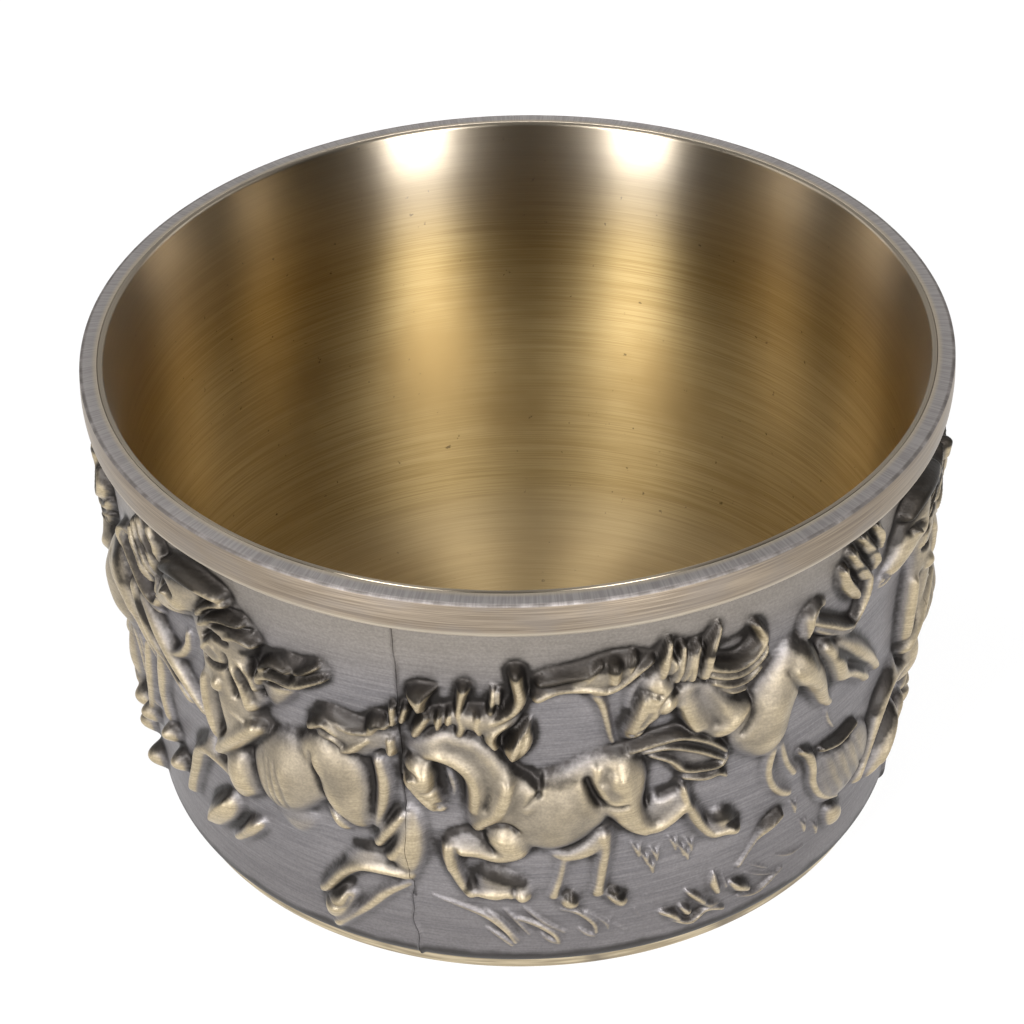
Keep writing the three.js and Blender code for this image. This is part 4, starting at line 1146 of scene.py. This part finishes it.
# %% Leading horse's hair
def leading_hair(at=0.0):
    pillow([(-16.8, 22.4), (-16.0, 24.0), (-14.8, 24.7), (-13.0, 24.3), (-11.6, 24.1), (-10.2, 24.4),
            (-9.3, 23.2), (-9.6, 21.4), (-10.8, 21.6), (-12.0, 20.4), (-13.4, 20.6), (-14.4, 21.5),
            (-15.6, 21.6)], at, 1.0, 1.2)
    for tuft in ([(-16.2, 22.6, 0.5), (-15.2, 23.2, 0.65), (-14.0, 22.6, 0.5)],
                 [(-15.4, 22.2, 0.4), (-14.4, 22.0, 0.5), (-13.6, 21.4, 0.4)],
                 [(-13.6, 21.2, 0.55), (-12.6, 21.8, 0.75), (-11.6, 22.8, 0.5)],
                 [(-13.8, 23.4, 0.4), (-12.6, 23.2, 0.5), (-11.6, 23.4, 0.4)],
                 [(-11.4, 23.6, 0.5), (-10.9, 24.5, 0.72), (-10.3, 24.4, 0.5)],
                 [(-9.9, 23.0, 0.45), (-9.9, 21.9, 0.52)],
                 [(-9.7, 24.6, 0.3), (-9.6, 26.2, 0.36)],
                 [(-9.0, 25.0, 0.3), (-8.6, 26.4, 0.34)]):
        limb(tuft, at, 1.1, 0.45, strands=1)
    limb([(-29.4, 31.0, 0.6), (-27.6, 31.7, 0.9), (-25.6, 31.7, 0.9), (-23.4, 31.5, 0.6)], at, 1.1, 0.5)
    pillow([(-25.9, 24.4), (-26.2, 26.8), (-25.6, 28.8), (-24.2, 30.4), (-22.6, 30.9), (-21.2, 29.9),
            (-20.2, 28.6), (-20.6, 26.8), (-20.1, 25.2), (-19.9, 23.4), (-20.7, 21.8), (-21.6, 21.2),
            (-22.8, 22.2), (-24.2, 21.9), (-25.3, 22.8)], at, 1.3, 1.2)
    pillow([(-20.8, 24.8), (-20.3, 26.4), (-19.4, 27.6), (-18.0, 28.5), (-16.6, 28.4), (-15.2, 28.8),
            (-14.3, 27.6), (-15.6, 26.5), (-16.9, 25.4), (-18.2, 23.7), (-19.6, 22.4), (-20.3, 23.2)],
           at, 0.85, 1.1)
    for tuft in ([(-25.7, 28.9, 0.4), (-24.4, 30.2, 0.46), (-22.9, 31.0, 0.3)],
                 [(-25.6, 28.0, 0.42), (-23.9, 29.2, 0.5), (-21.6, 29.8, 0.36)],
                 [(-24.0, 27.3, 0.42), (-22.2, 28.5, 0.52), (-20.5, 28.4, 0.36)],
                 [(-25.6, 25.8, 0.45), (-24.8, 26.7, 0.5), (-23.8, 26.4, 0.5)],
                 [(-23.4, 26.4, 0.5), (-22.3, 25.2, 0.62), (-21.7, 23.6, 0.7), (-21.4, 22.2, 0.6)],
                 [(-22.2, 26.6, 0.4), (-21.2, 25.6, 0.45), (-20.7, 24.2, 0.42)],
                 [(-20.7, 24.8, 0.5), (-20.0, 25.9, 0.58), (-18.8, 26.3, 0.52), (-17.2, 26.1, 0.5),
                  (-16.0, 26.8, 0.45), (-14.7, 27.5, 0.26)],
                 [(-20.0, 26.6, 0.36), (-19.0, 27.4, 0.45), (-17.6, 27.3, 0.36)],
                 [(-17.4, 26.4, 0.32), (-16.5, 27.5, 0.38), (-15.2, 28.5, 0.22)],
                 [(-23.6, 21.6, 0.5), (-22.9, 20.8, 0.6), (-22.0, 20.2, 0.42)]):
        limb(tuft, at, 1.0, 0.75, strands=1)
    pillow([(-25.2, 23.2), (-24.6, 24.3), (-23.6, 24.5), (-23.0, 23.6), (-23.4, 22.4), (-24.5, 22.0)],
           at, 1.9, 0.8)
    for cut in ([(-23.1, 26.4, 0.2), (-22.9, 24.8, 0.26), (-22.6, 22.8, 0.22)],
                [(-25.4, 26.9, 0.2), (-24.4, 27.7, 0.24), (-22.8, 27.7, 0.2)],
                [(-21.0, 26.8, 0.2), (-20.7, 25.4, 0.24), (-20.4, 23.6, 0.2)],
                [(-25.2, 25.1, 0.18), (-24.2, 24.9, 0.22), (-23.3, 25.2, 0.18)],
                [(-24.9, 29.4, 0.16), (-23.4, 30.3, 0.2), (-21.9, 30.4, 0.16)],
                [(-24.4, 28.6, 0.16), (-22.8, 29.2, 0.2), (-21.0, 29.3, 0.16)],
                [(-19.8, 25.4, 0.16), (-18.4, 25.5, 0.2), (-16.8, 25.6, 0.16)],
                [(-19.2, 26.9, 0.14), (-17.6, 26.7, 0.18), (-16.4, 27.4, 0.14)],
                [(-22.0, 25.6, 0.12), (-21.4, 24.2, 0.14), (-21.1, 22.8, 0.12)]):
        swell(cut, at, -0.55)


# %% [markdown]
# ## Ground
#
# Below the horses grow grass and small plants, and a few stones lie near the foot. They are only sketched
# in the metal. Scattered blades could fill the strip, but the real ones stand in a few places, so they
# are set one by one, and as thin limbs they stay low.

# %% Ground
def ground():
    for blade in ([(-7.7, 7.2, 0.15), (-5.7, 6.6, 0.25), (-3.6, 5.7, 0.34), (-2.1, 4.3, 0.36),
                   (-1.3, 2.9, 0.28)],
                  [(-3.6, 6.2, 0.18), (-2.4, 5.1, 0.28), (-1.0, 3.1, 0.22)],
                  [(-3.6, 4.3, 0.16), (-2.4, 3.4, 0.28), (-1.6, 2.6, 0.26)],
                  [(-2.1, 6.3, 0.15), (-1.0, 4.9, 0.24), (-0.2, 3.7, 0.2)],
                  [(-1.0, 5.4, 0.24), (0.5, 4.7, 0.32), (1.7, 3.7, 0.34), (2.1, 2.9, 0.28)],
                  [(-0.7, 6.6, 0.14), (0.8, 5.1, 0.24), (2.6, 3.7, 0.2)],
                  [(0.6, 3.8, 0.16), (1.4, 3.0, 0.26), (2.2, 2.6, 0.22)],
                  [(2.3, 6.2, 0.2), (3.7, 5.7, 0.3), (4.9, 4.4, 0.32), (5.1, 3.4, 0.26)],
                  [(4.3, 5.7, 0.16), (5.8, 4.3, 0.24), (6.1, 3.5, 0.18)],
                  [(3.6, 4.0, 0.15), (4.4, 3.3, 0.24), (5.0, 3.0, 0.2)],
                  [(6.6, 5.4, 0.12), (6.1, 3.8, 0.14)], [(6.4, 4.0, 0.12), (7.6, 2.9, 0.14)],
                  [(8.2, 5.2, 0.12), (8.8, 4.0, 0.14)], [(9.2, 6.4, 0.1), (9.7, 5.2, 0.12)]):
        limb(blade, rise=0.9)
    for s, z in ((8.2, 11.4), (8.9, 10.4), (9.4, 9.4), (9.7, 10.6), (11.2, 11.2), (11.9, 10.4), (12.3, 9.8),
                 (12.6, 10.6), (22.6, 9.6), (24.0, 6.8), (25.6, 5.6)):
        limb([(s - 0.45, z + 0.8, 0.1), (s, z, 0.2), (s + 0.25, z - 0.8, 0.16)], rise=1.5)
        limb([(s + 0.4, z + 0.6, 0.1), (s + 0.25, z - 0.2, 0.17), (s + 0.25, z - 0.8, 0.14)], rise=1.4)
    for leaf in ([(14.9, 6.6, 0.25), (14.95, 5.6, 0.48), (15.4, 4.5, 0.35)],
                 [(12.5, 5.7, 0.2), (13.2, 5.0, 0.4), (14.2, 3.9, 0.3)],
                 [(10.4, 4.2, 0.3), (11.2, 3.8, 0.45), (12.0, 3.0, 0.3)],
                 [(16.6, 4.9, 0.3), (17.4, 4.2, 0.6), (18.3, 3.5, 0.4)],
                 [(12.1, 4.2, 0.3), (12.7, 3.6, 0.5)],
                 [(11.4, 3.0, 0.2), (13.0, 2.4, 0.4), (14.4, 3.0, 0.3), (16.0, 2.5, 0.3)],
                 [(15.8, 6.0, 0.14), (16.2, 4.6, 0.24)],
                 [(18.2, 6.0, 0.12), (19.6, 5.0, 0.2), (20.4, 4.4, 0.14)],
                 [(18.0, 5.2, 0.12), (19.6, 4.2, 0.2), (21.4, 3.4, 0.16)],
                 [(17.4, 3.0, 0.2), (19.4, 2.6, 0.3), (22.0, 3.6, 0.2)],
                 [(13.2, 4.4, 0.14), (14.6, 3.4, 0.26), (15.6, 3.2, 0.2)],
                 [(20.6, 5.6, 0.12), (22.6, 4.6, 0.2), (24.4, 4.4, 0.14)]):
        limb(leaf, rise=1.0)
    limb([(20.9, 9.9, 0.5), (19.9, 9.4, 0.55), (18.9, 8.4, 0.25), (18.0, 7.2, 0.2),
          (17.2, 6.3, 0.24)], rise=1.3)
    pillow([(24.2, 13.6), (26.0, 13.4), (28.2, 13.0), (30.2, 13.6), (32.0, 12.0), (32.4, 9.6), (31.0, 8.0),
            (28.6, 7.2), (26.4, 7.6), (25.0, 9.0), (24.4, 11.2)], rise=0.95, soft=1.2)
    for fold in (0.0, 1.3, 2.6, 3.9):
        swell([(25.3 + fold, 12.6, 0.2), (26.0 + fold, 10.6, 0.26), (27.2 + fold, 8.6, 0.2)], amount=-0.16)
    limb([(22.8, 15.1, 0.35), (23.6, 14.3, 0.5), (24.2, 12.8, 0.45), (24.4, 11.2, 0.42), (25.2, 9.6, 0.4),
          (26.4, 8.4, 0.36), (27.8, 7.6, 0.3)], rise=0.9, base=0.2)
    limb([(25.2, 13.9, 0.3), (27.2, 13.5, 0.4), (29.4, 13.9, 0.34)], rise=0.9, base=0.3)
    pillow([(26.4, 6.6), (27.4, 7.2), (28.6, 6.4), (29.2, 5.2), (28.2, 4.4),
            (27.0, 4.8)], rise=0.8, soft=0.7)
    limb([(25.4, 17.6, 0.2), (25.8, 16.4, 0.25), (26.6, 15.2, 0.2)], rise=1.0)


# %% [markdown]
# ## Soot and painted shade
#
# Before it is wiped, the casting is blackened, and in deep corners the black stays thick. On the upper sides
# of hooves, hocks, backs and tufts the black is also painted shade, standing for the dark room that these
# sides mirror. The heights alone could tell the corners, but not how thick the black was left, so a second
# strip records where it is painted on with a soft brush.

# %% Soot and painted shade
soot_and_shade = np.zeros((ROWS, COLUMNS))


# Paints soot, and painted shade on upper sides, into the second strip.
def blacken(stations, at, amount):
    path = spine(stations, at)
    place, s, z = strip_window(path, BRUSH_REACH * path[:, 2].max())
    soot_and_shade[place] = np.maximum(soot_and_shade[place], amount * np.exp(-nearest_on_path(path, s, z)[0] ** 2))


def soot_and_shade_on_middle(at=0.0):
    for amount, stroke in (
            (0.8, [(9.9, 17.0, 0.45), (11.0, 17.3, 0.45)]),
            (1.0, [(14.7, 12.7, 0.5), (15.6, 12.6, 0.6), (16.5, 11.6, 0.5)]),
            (0.8, [(-5.9, 14.2, 0.35), (-4.6, 14.6, 0.35), (-3.2, 14.2, 0.3)]),
            (0.9, [(-3.8, 10.4, 0.6), (-2.2, 9.9, 0.6), (-0.6, 9.2, 0.4)]),
            (0.8, [(-5.0, 8.6, 0.3), (-4.4, 9.4, 0.3)]),
            (0.8, [(2.9, 7.8, 0.35), (3.5, 7.2, 0.3)]),
            (0.8, [(6.2, 7.7, 0.35), (7.2, 7.2, 0.3)]),
            (0.7, [(0.2, 20.7, 0.4), (0.7, 20.0, 0.35)]),
            (0.35, [(1.4, 19.8, 0.4), (2.6, 19.8, 0.5), (3.6, 20.2, 0.4)]),
            (0.9, [(-7.8, 28.4, 0.3), (-6.6, 28.5, 0.3)]),
            (0.9, [(-6.7, 26.9, 0.3), (-5.2, 27.2, 0.3)]),
            (0.9, [(-3.6, 27.2, 0.25), (-1.4, 27.3, 0.25)]),
            (0.8, [(-1.2, 30.4, 0.35), (-0.2, 30.6, 0.35)])):
        blacken(stroke, at, amount)


def soot_and_shade_on_following(at=0.0):
    for amount, stroke in (
            (1.0, [(0.6, 29.3, 0.4), (2.6, 29.9, 0.45), (5.0, 30.6, 0.4), (8.4, 30.7, 0.3)]),
            (0.8, [(12.6, 30.0, 0.4), (14.2, 29.8, 0.4), (16.2, 30.0, 0.4)]),
            (0.8, [(16.2, 24.6, 0.35), (17.4, 25.6, 0.35), (18.4, 26.6, 0.3)]),
            (0.6, [(20.6, 27.0, 0.5), (21.8, 25.6, 0.6), (22.6, 24.2, 0.5)]),
            (0.8, [(25.0, 23.8, 0.5), (27.4, 21.6, 0.5), (29.4, 19.4, 0.5)]),
            (0.7, [(26.8, 30.6, 0.4), (28.6, 31.6, 0.4)])):
        blacken(stroke, at, amount)


def soot_and_shade_on_leading(at=0.0):
    for amount, stroke in (
            (1.0, [(-30.4, 29.6, 0.5), (-28.4, 31.4, 0.6), (-25.4, 32.0, 0.5)]),
            (0.9, [(-21.4, 27.4, 0.4), (-19.0, 27.6, 0.5), (-16.4, 28.2, 0.4)]),
            (0.9, [(-15.6, 24.2, 0.4), (-12.6, 24.0, 0.4), (-10.4, 25.0, 0.4)]),
            (0.9, [(-28.0, 15.0, 0.4), (-29.6, 13.8, 0.5), (-30.2, 12.6, 0.4)]),
            (0.8, [(-13.8, 11.2, 0.4), (-11.6, 11.4, 0.4)]),
            (0.8, [(-14.6, 7.0, 0.4), (-15.6, 5.8, 0.4)]),
            (0.7, [(-26.4, 10.4, 0.4), (-28.6, 8.6, 0.4)])):
        blacken(stroke, at, amount)


# %% [markdown]
# ## Hooves at the edge
#
# At the left edge of the picture the hocks and hooves of one more horse stand out from the wall. A whole
# horse could be drawn there, but the rest of it is out of sight, so these are all that is added.

# %% Hooves at the edge
def hooves_ahead():
    limb([(-33.2, 20.4, 0.7), (-34.0, 17.6, 0.72), (-34.8, 15.0, 0.62), (-34.4, 12.8, 0.6)], rise=1.1)
    limb([(-36.6, 18.6, 0.6), (-37.4, 15.6, 0.7), (-38.4, 12.6, 0.66), (-39.4, 10.4, 0.62)], rise=1.1)
    for hoof in ((-34.2, 11.4, 0.95), (-33.2, 9.2, 1.05), (-39.9, 9.4, 1.05), (-43.4, 8.4, 1.25),
                 (-44.6, 5.0, 1.15), (-41.4, 3.8, 1.2)):
        knob(*hoof, rise=1.5)
    limb([(-33.4, 25.7, 0.4), (-34.2, 23.9, 0.5), (-32.7, 22.1, 0.58), (-30.4, 21.8, 0.58),
          (-28.8, 23.4, 0.5), (-28.4, 25.0, 0.4)], rise=1.15)


# %% [markdown]
# ## Order of the work
#
# Everything could be stamped in one go, but then hair and cuts would be as soft as the bodies. So the
# bodies come first, the far ones before the near ones, and are softened once, as wax is with a warm thumb.
# Ground, cuts and hair come on top and are softened only a little, as casting does.

# %% Stamp the strip
TRAILING_SHIFT = 62.97  # the leading horse once more, behind the following one
AHEAD_SHIFT = -59.98  # the following horse once more, ahead of the leading one
BODY_SOFTENING = (0.65, 2)  # share of the softened strip, and its radius in cells
LAST_SOFTENING = (0.4, 1)


def blurred(field, radius):
    """A box mean, three times over, that wraps round the cup."""
    size = 2 * radius + 1
    for _ in range(3):
        for axis, mode in ((0, "edge"), (1, "wrap")):
            pad = [(radius + 1, radius) if axis == index else (0, 0) for index in (0, 1)]
            total = np.cumsum(np.pad(field, pad, mode=mode), axis=axis)
            upper = np.take(total, range(size, total.shape[axis]), axis=axis)
            lower = np.take(total, range(0, total.shape[axis] - size), axis=axis)
            field = (upper - lower) / size
    return field


def softened(field, share, radius):
    return (1 - share) * field + share * blurred(field, radius)


following_horse(AHEAD_SHIFT)
leading_horse(TRAILING_SHIFT)
following_horse()
hooves_ahead()
leading_horse()
middle_horse()
relief = softened(relief, *BODY_SOFTENING)
bodies = relief.copy()
ground()
for shift in (AHEAD_SHIFT, 0.0):
    following_details(shift)
    following_hair(shift)
    soot_and_shade_on_following(shift)
for shift in (TRAILING_SHIFT, 0.0):
    leading_details(shift)
    leading_hair(shift)
    soot_and_shade_on_leading(shift)
middle_details()
middle_hair()
soot_and_shade_on_middle()
relief = softened(relief, *LAST_SOFTENING)
print("relief up to", round(float(relief.max()), 2), "mm")

# %% [markdown]
# ## Where the patina stays, and where shade and highlight are painted
#
# Patina could be painted stroke by stroke all over, as the soot is. Most of it follows from the heights,
# though.
# Creases, which no polishing cloth reaches, keep their patina and stay dark. The upper sides of the forms
# are darkened too, and that is painted shade: it stands for the dark room in front of the cup that these
# sides mirror. Convex places are rubbed bright, most of all where they face down, and that lean is painted
# highlight, as such sides catch the white floor.

# %% Masks of the finish
HAIR_HEIGHT = 0.3  # what stands this far over the softened bodies is hair
CREASE_DEPTH = 0.3
# painted shade: from this slope on, an upper side is darkened
TOP_SHADE_SLOPES = (0.25, 1.4)  # slope at which an upper side starts to darken, and how much more makes it black
RIDGE_HEIGHT = 0.16
DOME_HEIGHT = 0.6
FORM_HEIGHT = 0.4  # relief that is high enough to be rubbed
NARROW, BROAD = 4, 12  # cells over which ridges and domes are told from their surroundings

slope_up = np.gradient(relief, CELL, axis=0)
hair = blurred(np.clip((relief - bodies) / HAIR_HEIGHT, 0, 1), 1)
crease = np.clip((blurred(relief, NARROW) - relief) / CREASE_DEPTH, 0, 1)
# painted shade on the upper sides of the forms, a little more on hair
top_shade = np.clip((-slope_up - TOP_SHADE_SLOPES[0]) / TOP_SHADE_SLOPES[1], 0, 1) * (0.65 + 0.35 * hair)
# patina in the creases, painted shade on the upper sides, and the soot and shade strokes
patina_and_shade = np.clip(1.2 * blurred(crease + top_shade, 1) + 0.6 * blurred(top_shade, 5) + soot_and_shade, 0, 1)
ridge = np.clip((relief - blurred(relief, NARROW)) / RIDGE_HEIGHT, 0, 1)
dome = np.clip((relief - blurred(relief, BROAD)) / DOME_HEIGHT, 0, 1)
# painted highlight: sides that face down, towards the white floor, get more gold
lit_underside = np.clip(0.7 + 0.5 * slope_up, 0, 1)
burnish_and_highlight = np.clip(0.65 * ridge + 0.5 * dome, 0, 1) * lit_underside * np.clip(relief / FORM_HEIGHT, 0, 1)
print("patina mean", round(float(patina_and_shade.mean()), 3), "burnish mean", round(float(burnish_and_highlight.mean()), 3))


def sample_strip(field, s, z):
    column = (s / CELL) % COLUMNS
    row = np.clip(z / CELL, 0, ROWS - 1.001)
    c0, r0 = np.floor(column).astype(int), np.floor(row).astype(int)
    fc, fr = column - c0, row - r0
    c0, c1 = c0 % COLUMNS, (c0 + 1) % COLUMNS
    upper = field[r0 + 1, c0] * (1 - fc) + field[r0 + 1, c1] * fc
    lower = field[r0, c0] * (1 - fc) + field[r0, c1] * fc
    return lower * (1 - fr) + upper * fr


# %% [markdown]
# ## Patinated relief
#
# Antique bronze is darkened all over and then wiped, so the ground keeps a grey violet skin with
# horizontal wipe marks, the hollows stay black, and the backs of the horses shine through golden. On top of
# that the colour carries painted light: black on the upper sides of the forms and gold on their lower
# sides stand for the room that they mirror, and the wall is darkened low down and just over the foot as
# painted shade. Noise alone could darken it, but not in the right places, so the masks of the strip ride on
# the mesh as attributes and the material only mixes them.

# %% Relief bronze
GROUND_DARK = (0.185, 0.175, 0.182, 1)
GROUND_LIGHT = (0.275, 0.259, 0.262, 1)
GROUND_UNDER_BAND = (0.30, 0.265, 0.22, 1)
# painted shade: the wall is darkened towards the bottom
GROUND_SHADE_LOW_DOWN = (0.14, 0.128, 0.128, 1)
# painted shade: a near black, wavering line in the groove just over the foot
GROUND_SHADE_OVER_FOOT = (0.03, 0.027, 0.025, 1)
FORM_DARK = (0.225, 0.193, 0.148, 1)
FORM_LIGHT = (0.36, 0.308, 0.232, 1)
# gold of rubbed crests, which also carries painted highlight on their lower sides
GOLD_DARK = (0.43, 0.35, 0.225, 1)
GOLD_LIGHT = (0.60, 0.495, 0.33, 1)
GRAIN_COLOUR = (0.07, 0.062, 0.055, 1)
# near black of patina and of painted shade
SOOT_AND_SHADE_COLOUR = (0.022, 0.019, 0.017, 1)
UNDER_BAND_FADE = (27.0, 34.5)
LOW_DOWN_FADE = (13.0, 3.0)
OVER_FOOT_FADE = (3.4, 2.7)
OVER_FOOT_WAVER = 1.2
FORM_RISE = (0.1, 1.3)  # heights of the relief between which the wall's colour turns into the horses'
COAT_WEIGHT = 0.06
COAT_ROUGHNESS = 0.16
WIPE_DEPTH = 0.03
GRIT_DEPTH = 0.07


def strip_value(tree, name):
    return add_node(tree, "ShaderNodeAttribute", attribute_name=name).outputs["Fac"]


def wall_colour(tree, up, wipe, cloud):
    wall = blend_colours(tree, ramp(tree, wipe, 0.34, 0.66), GROUND_DARK, GROUND_LIGHT)
    wall = tinted(tree, wall, GROUND_UNDER_BAND, fade(tree, up, UNDER_BAND_FADE), 0.7)
    # painted shade, darker towards the bottom
    wall = tinted(tree, wall, GROUND_SHADE_LOW_DOWN, fade(tree, up, LOW_DOWN_FADE), 0.4)
    over_foot = maths(tree, "ADD", up, maths(tree, "MULTIPLY", cloud, OVER_FOOT_WAVER * MM))
    # painted shade in the groove just over the foot
    return tinted(tree, wall, GROUND_SHADE_OVER_FOOT, fade(tree, over_foot, OVER_FOOT_FADE), 0.85)


def relief_bronze():
    material, tree, shader = metal("relief_bronze")
    turn, _, up = round_coordinates(tree)
    fine = streaks(tree, turn, 0.0, up, per_turn=9.0, per_metre=6500.0)
    broad = streaks(tree, turn, 0.0, up, per_turn=3.0, per_metre=700.0, seed=5.0)
    wipe = weighted(tree, fine, 0.6, broad, 0.4)
    cloud = speckle(tree, per_metre=320.0)
    grit = speckle(tree, per_metre=2400.0, seed=2.0)
    sand = speckle(tree, per_metre=5200.0, seed=9.0)
    # rubbed gold, with painted highlight on downward-facing sides
    rubbed_and_highlit = strip_value(tree, "burnish_and_highlight")
    form = blend_colours(tree, ramp(tree, cloud, 0.35, 0.65), FORM_DARK, FORM_LIGHT)
    raised = ramp(tree, strip_value(tree, "height"), *FORM_RISE)
    colour = blend_colours(tree, raised, wall_colour(tree, up, wipe, cloud), form)
    gold = blend_colours(tree, ramp(tree, wipe, 0.36, 0.64), GOLD_DARK, GOLD_LIGHT)
    shine = maths(tree, "ADD", rubbed_and_highlit, maths(tree, "MULTIPLY", cloud, 0.3))
    colour = blend_colours(tree, ramp(tree, shine, 0.2, 0.95), colour, gold)
    colour = tinted(tree, colour, GRAIN_COLOUR, ramp(tree, sand, 0.72, 0.3), 0.24)
    mottle = maths(tree, "ADD", weighted(tree, grit, 0.7, cloud, 0.6), 0.3)
    # patina and painted shade turn the colour nearly black
    stained_and_shaded = maths(tree, "MULTIPLY", strip_value(tree, "patina_and_shade"), mottle)
    colour = tinted(tree, colour, SOOT_AND_SHADE_COLOUR, ramp(tree, stained_and_shaded, 0.08, 0.85), 0.95)
    tree.links.new(colour, shader.inputs["Base Color"])
    tree.links.new(spread(tree, rubbed_and_highlit, 0.54, 0.42), shader.inputs["Roughness"])
    shader.inputs["Coat Weight"].default_value = COAT_WEIGHT
    shader.inputs["Coat Roughness"].default_value = COAT_ROUGHNESS
    brushed = bump(tree, wipe, WIPE_DEPTH * MM, 0.4)
    tree.links.new(bump(tree, grit, GRIT_DEPTH * MM, 0.45, brushed), shader.inputs["Normal"])
    return material


# %% [markdown]
# ## Castings
#
# Each casting is a closed section of the wall, spun through a quarter turn in fine steps and capped at
# both ends. Its outer skin is then raised by the strip. A Displace modifier could do that with a picture,
# but here the seams also waver a little towards the foot and carry a thin flash, so the skin is moved by
# numbers that are at hand.

# %% Four castings
SEAM_AZIMUTH = math.radians(-17.0)
SEAM_OPENING = 0.04
FLASH_HEIGHT = 0.25
FLASH_WIDTH = 0.16
FLASH_BELOW = 0.4  # no flash where the relief is higher than this
WAVER_WAVES = ((0.15, 0.9, 0.0), (0.09, 2.3, 1.0))  # reach to each side, radians per millimetre, start
WAVER_TOP = 18.0
WAVER_FADE = 12.0
WAVER_LEAST = 0.25
WAVER_REACH = 1.2  # how far from the seam the skin gives way
SKIN_STEP = 0.135
SKIN_SHARE = 0.3  # share of the thickness beyond which a point is on the outer skin
CASTING_SHARP_EDGE = 75.0
QUARTER = math.pi / 2
CASTINGS = {"front_panel": "front_casting", "right_panel": "right_casting",
            "back_panel": "back_casting", "left_panel": "left_casting"}


def casting_profile():
    heel = rounded_profile([(panel_inside(PANEL_BOTTOM), PANEL_BOTTOM, 0, 0),
                            (wall_radius(PANEL_BOTTOM), PANEL_BOTTOM, HEEL_ROUND, 12),
                            (wall_radius(PANEL_TOP), PANEL_TOP, 0, 0)])
    start = heel[-2].y
    count = round((PANEL_TOP - start) / SKIN_STEP)
    skin = [Vector((wall_radius(z), z)) for z in np.linspace(start, PANEL_TOP, count + 1)[1:]]
    return heel[:-1] + skin + [Vector((panel_inside(PANEL_TOP), PANEL_TOP))]


def raise_relief(mesh):
    places = np.empty(len(mesh.vertices) * 3)
    mesh.vertices.foreach_get("co", places)
    places = places.reshape(-1, 3) / MM
    radius = np.hypot(places[:, 0], places[:, 1])
    azimuth = np.arctan2(places[:, 0], -places[:, 1])
    outer = radius > panel_inside(places[:, 2]) + SKIN_SHARE * PANEL_THICKNESS
    z = places[:, 2] - FRIEZE_BASE
    from_seam = ((azimuth - SEAM_AZIMUTH + QUARTER / 2) % QUARTER - QUARTER / 2) * FRIEZE_RADIUS
    waver = sum(reach * np.sin(rate * z + start) for reach, rate, start in WAVER_WAVES)
    waver *= np.clip((WAVER_TOP - z) / WAVER_FADE, WAVER_LEAST, 1)
    azimuth += waver * np.exp(-(from_seam / WAVER_REACH) ** 2) / FRIEZE_RADIUS
    s = azimuth * FRIEZE_RADIUS
    height = np.where(outer, sample_strip(relief, s, z), 0)
    flash = FLASH_HEIGHT * np.exp(-(from_seam / FLASH_WIDTH) ** 2)
    radius += np.where(outer, height + flash * (height < FLASH_BELOW), 0)
    places[:, 0] = radius * np.sin(azimuth)
    places[:, 1] = -radius * np.cos(azimuth)
    mesh.vertices.foreach_set("co", (places * MM).ravel())
    # the masks carry patina with painted shade, and rubbed gold with painted highlight
    for name, field in (("patina_and_shade", patina_and_shade), ("burnish_and_highlight", burnish_and_highlight), ("height", relief)):
        layer = mesh.attributes.new(name, "FLOAT", "POINT")
        layer.data.foreach_set("value", np.where(outer, sample_strip(field, s, z), 0).astype(np.float32))


def casting_blank():
    """A quarter of the plain wall, from the first seam to the next."""
    gap = SEAM_OPENING / FRIEZE_RADIUS
    span = QUARTER - gap
    bm = bmesh.new()
    verts, edges = profile_wire(bm, casting_profile(), closed=True, azimuth=SEAM_AZIMUTH + gap / 2)
    bm.faces.new(verts)
    steps = round(span * wall_radius(CUP_HEIGHT / 2) / SKIN_STEP)
    spun = bmesh.ops.spin(bm, geom=verts + edges, axis=(0, 0, 1), cent=(0, 0, 0), angle=span, steps=steps)
    last = [item for item in spun["geom_last"] if isinstance(item, bmesh.types.BMEdge)]
    bmesh.ops.contextual_create(bm, geom=last)
    bmesh.ops.recalc_face_normals(bm, faces=bm.faces)
    return finished_piece("casting_blank", bm, sharp_degrees=CASTING_SHARP_EDGE)


def casting(name, blank, index):
    mesh = blank.data.copy()
    mesh.name = name
    mesh.transform(Matrix.Rotation(index * QUARTER, 4, "Z"))
    raise_relief(mesh)
    piece = bpy.data.objects.new(name, mesh)
    bpy.context.collection.objects.link(piece)
    print(name, len(mesh.vertices), "vertices,", len(mesh.polygons), "faces")
    return piece


relief_finish = relief_bronze()
blank = casting_blank()
for index, (node, name) in enumerate(CASTINGS.items()):
    dress(casting(name, blank, index), node, relief_finish)
spare = blank.data
bpy.data.objects.remove(blank)
bpy.data.meshes.remove(spare)
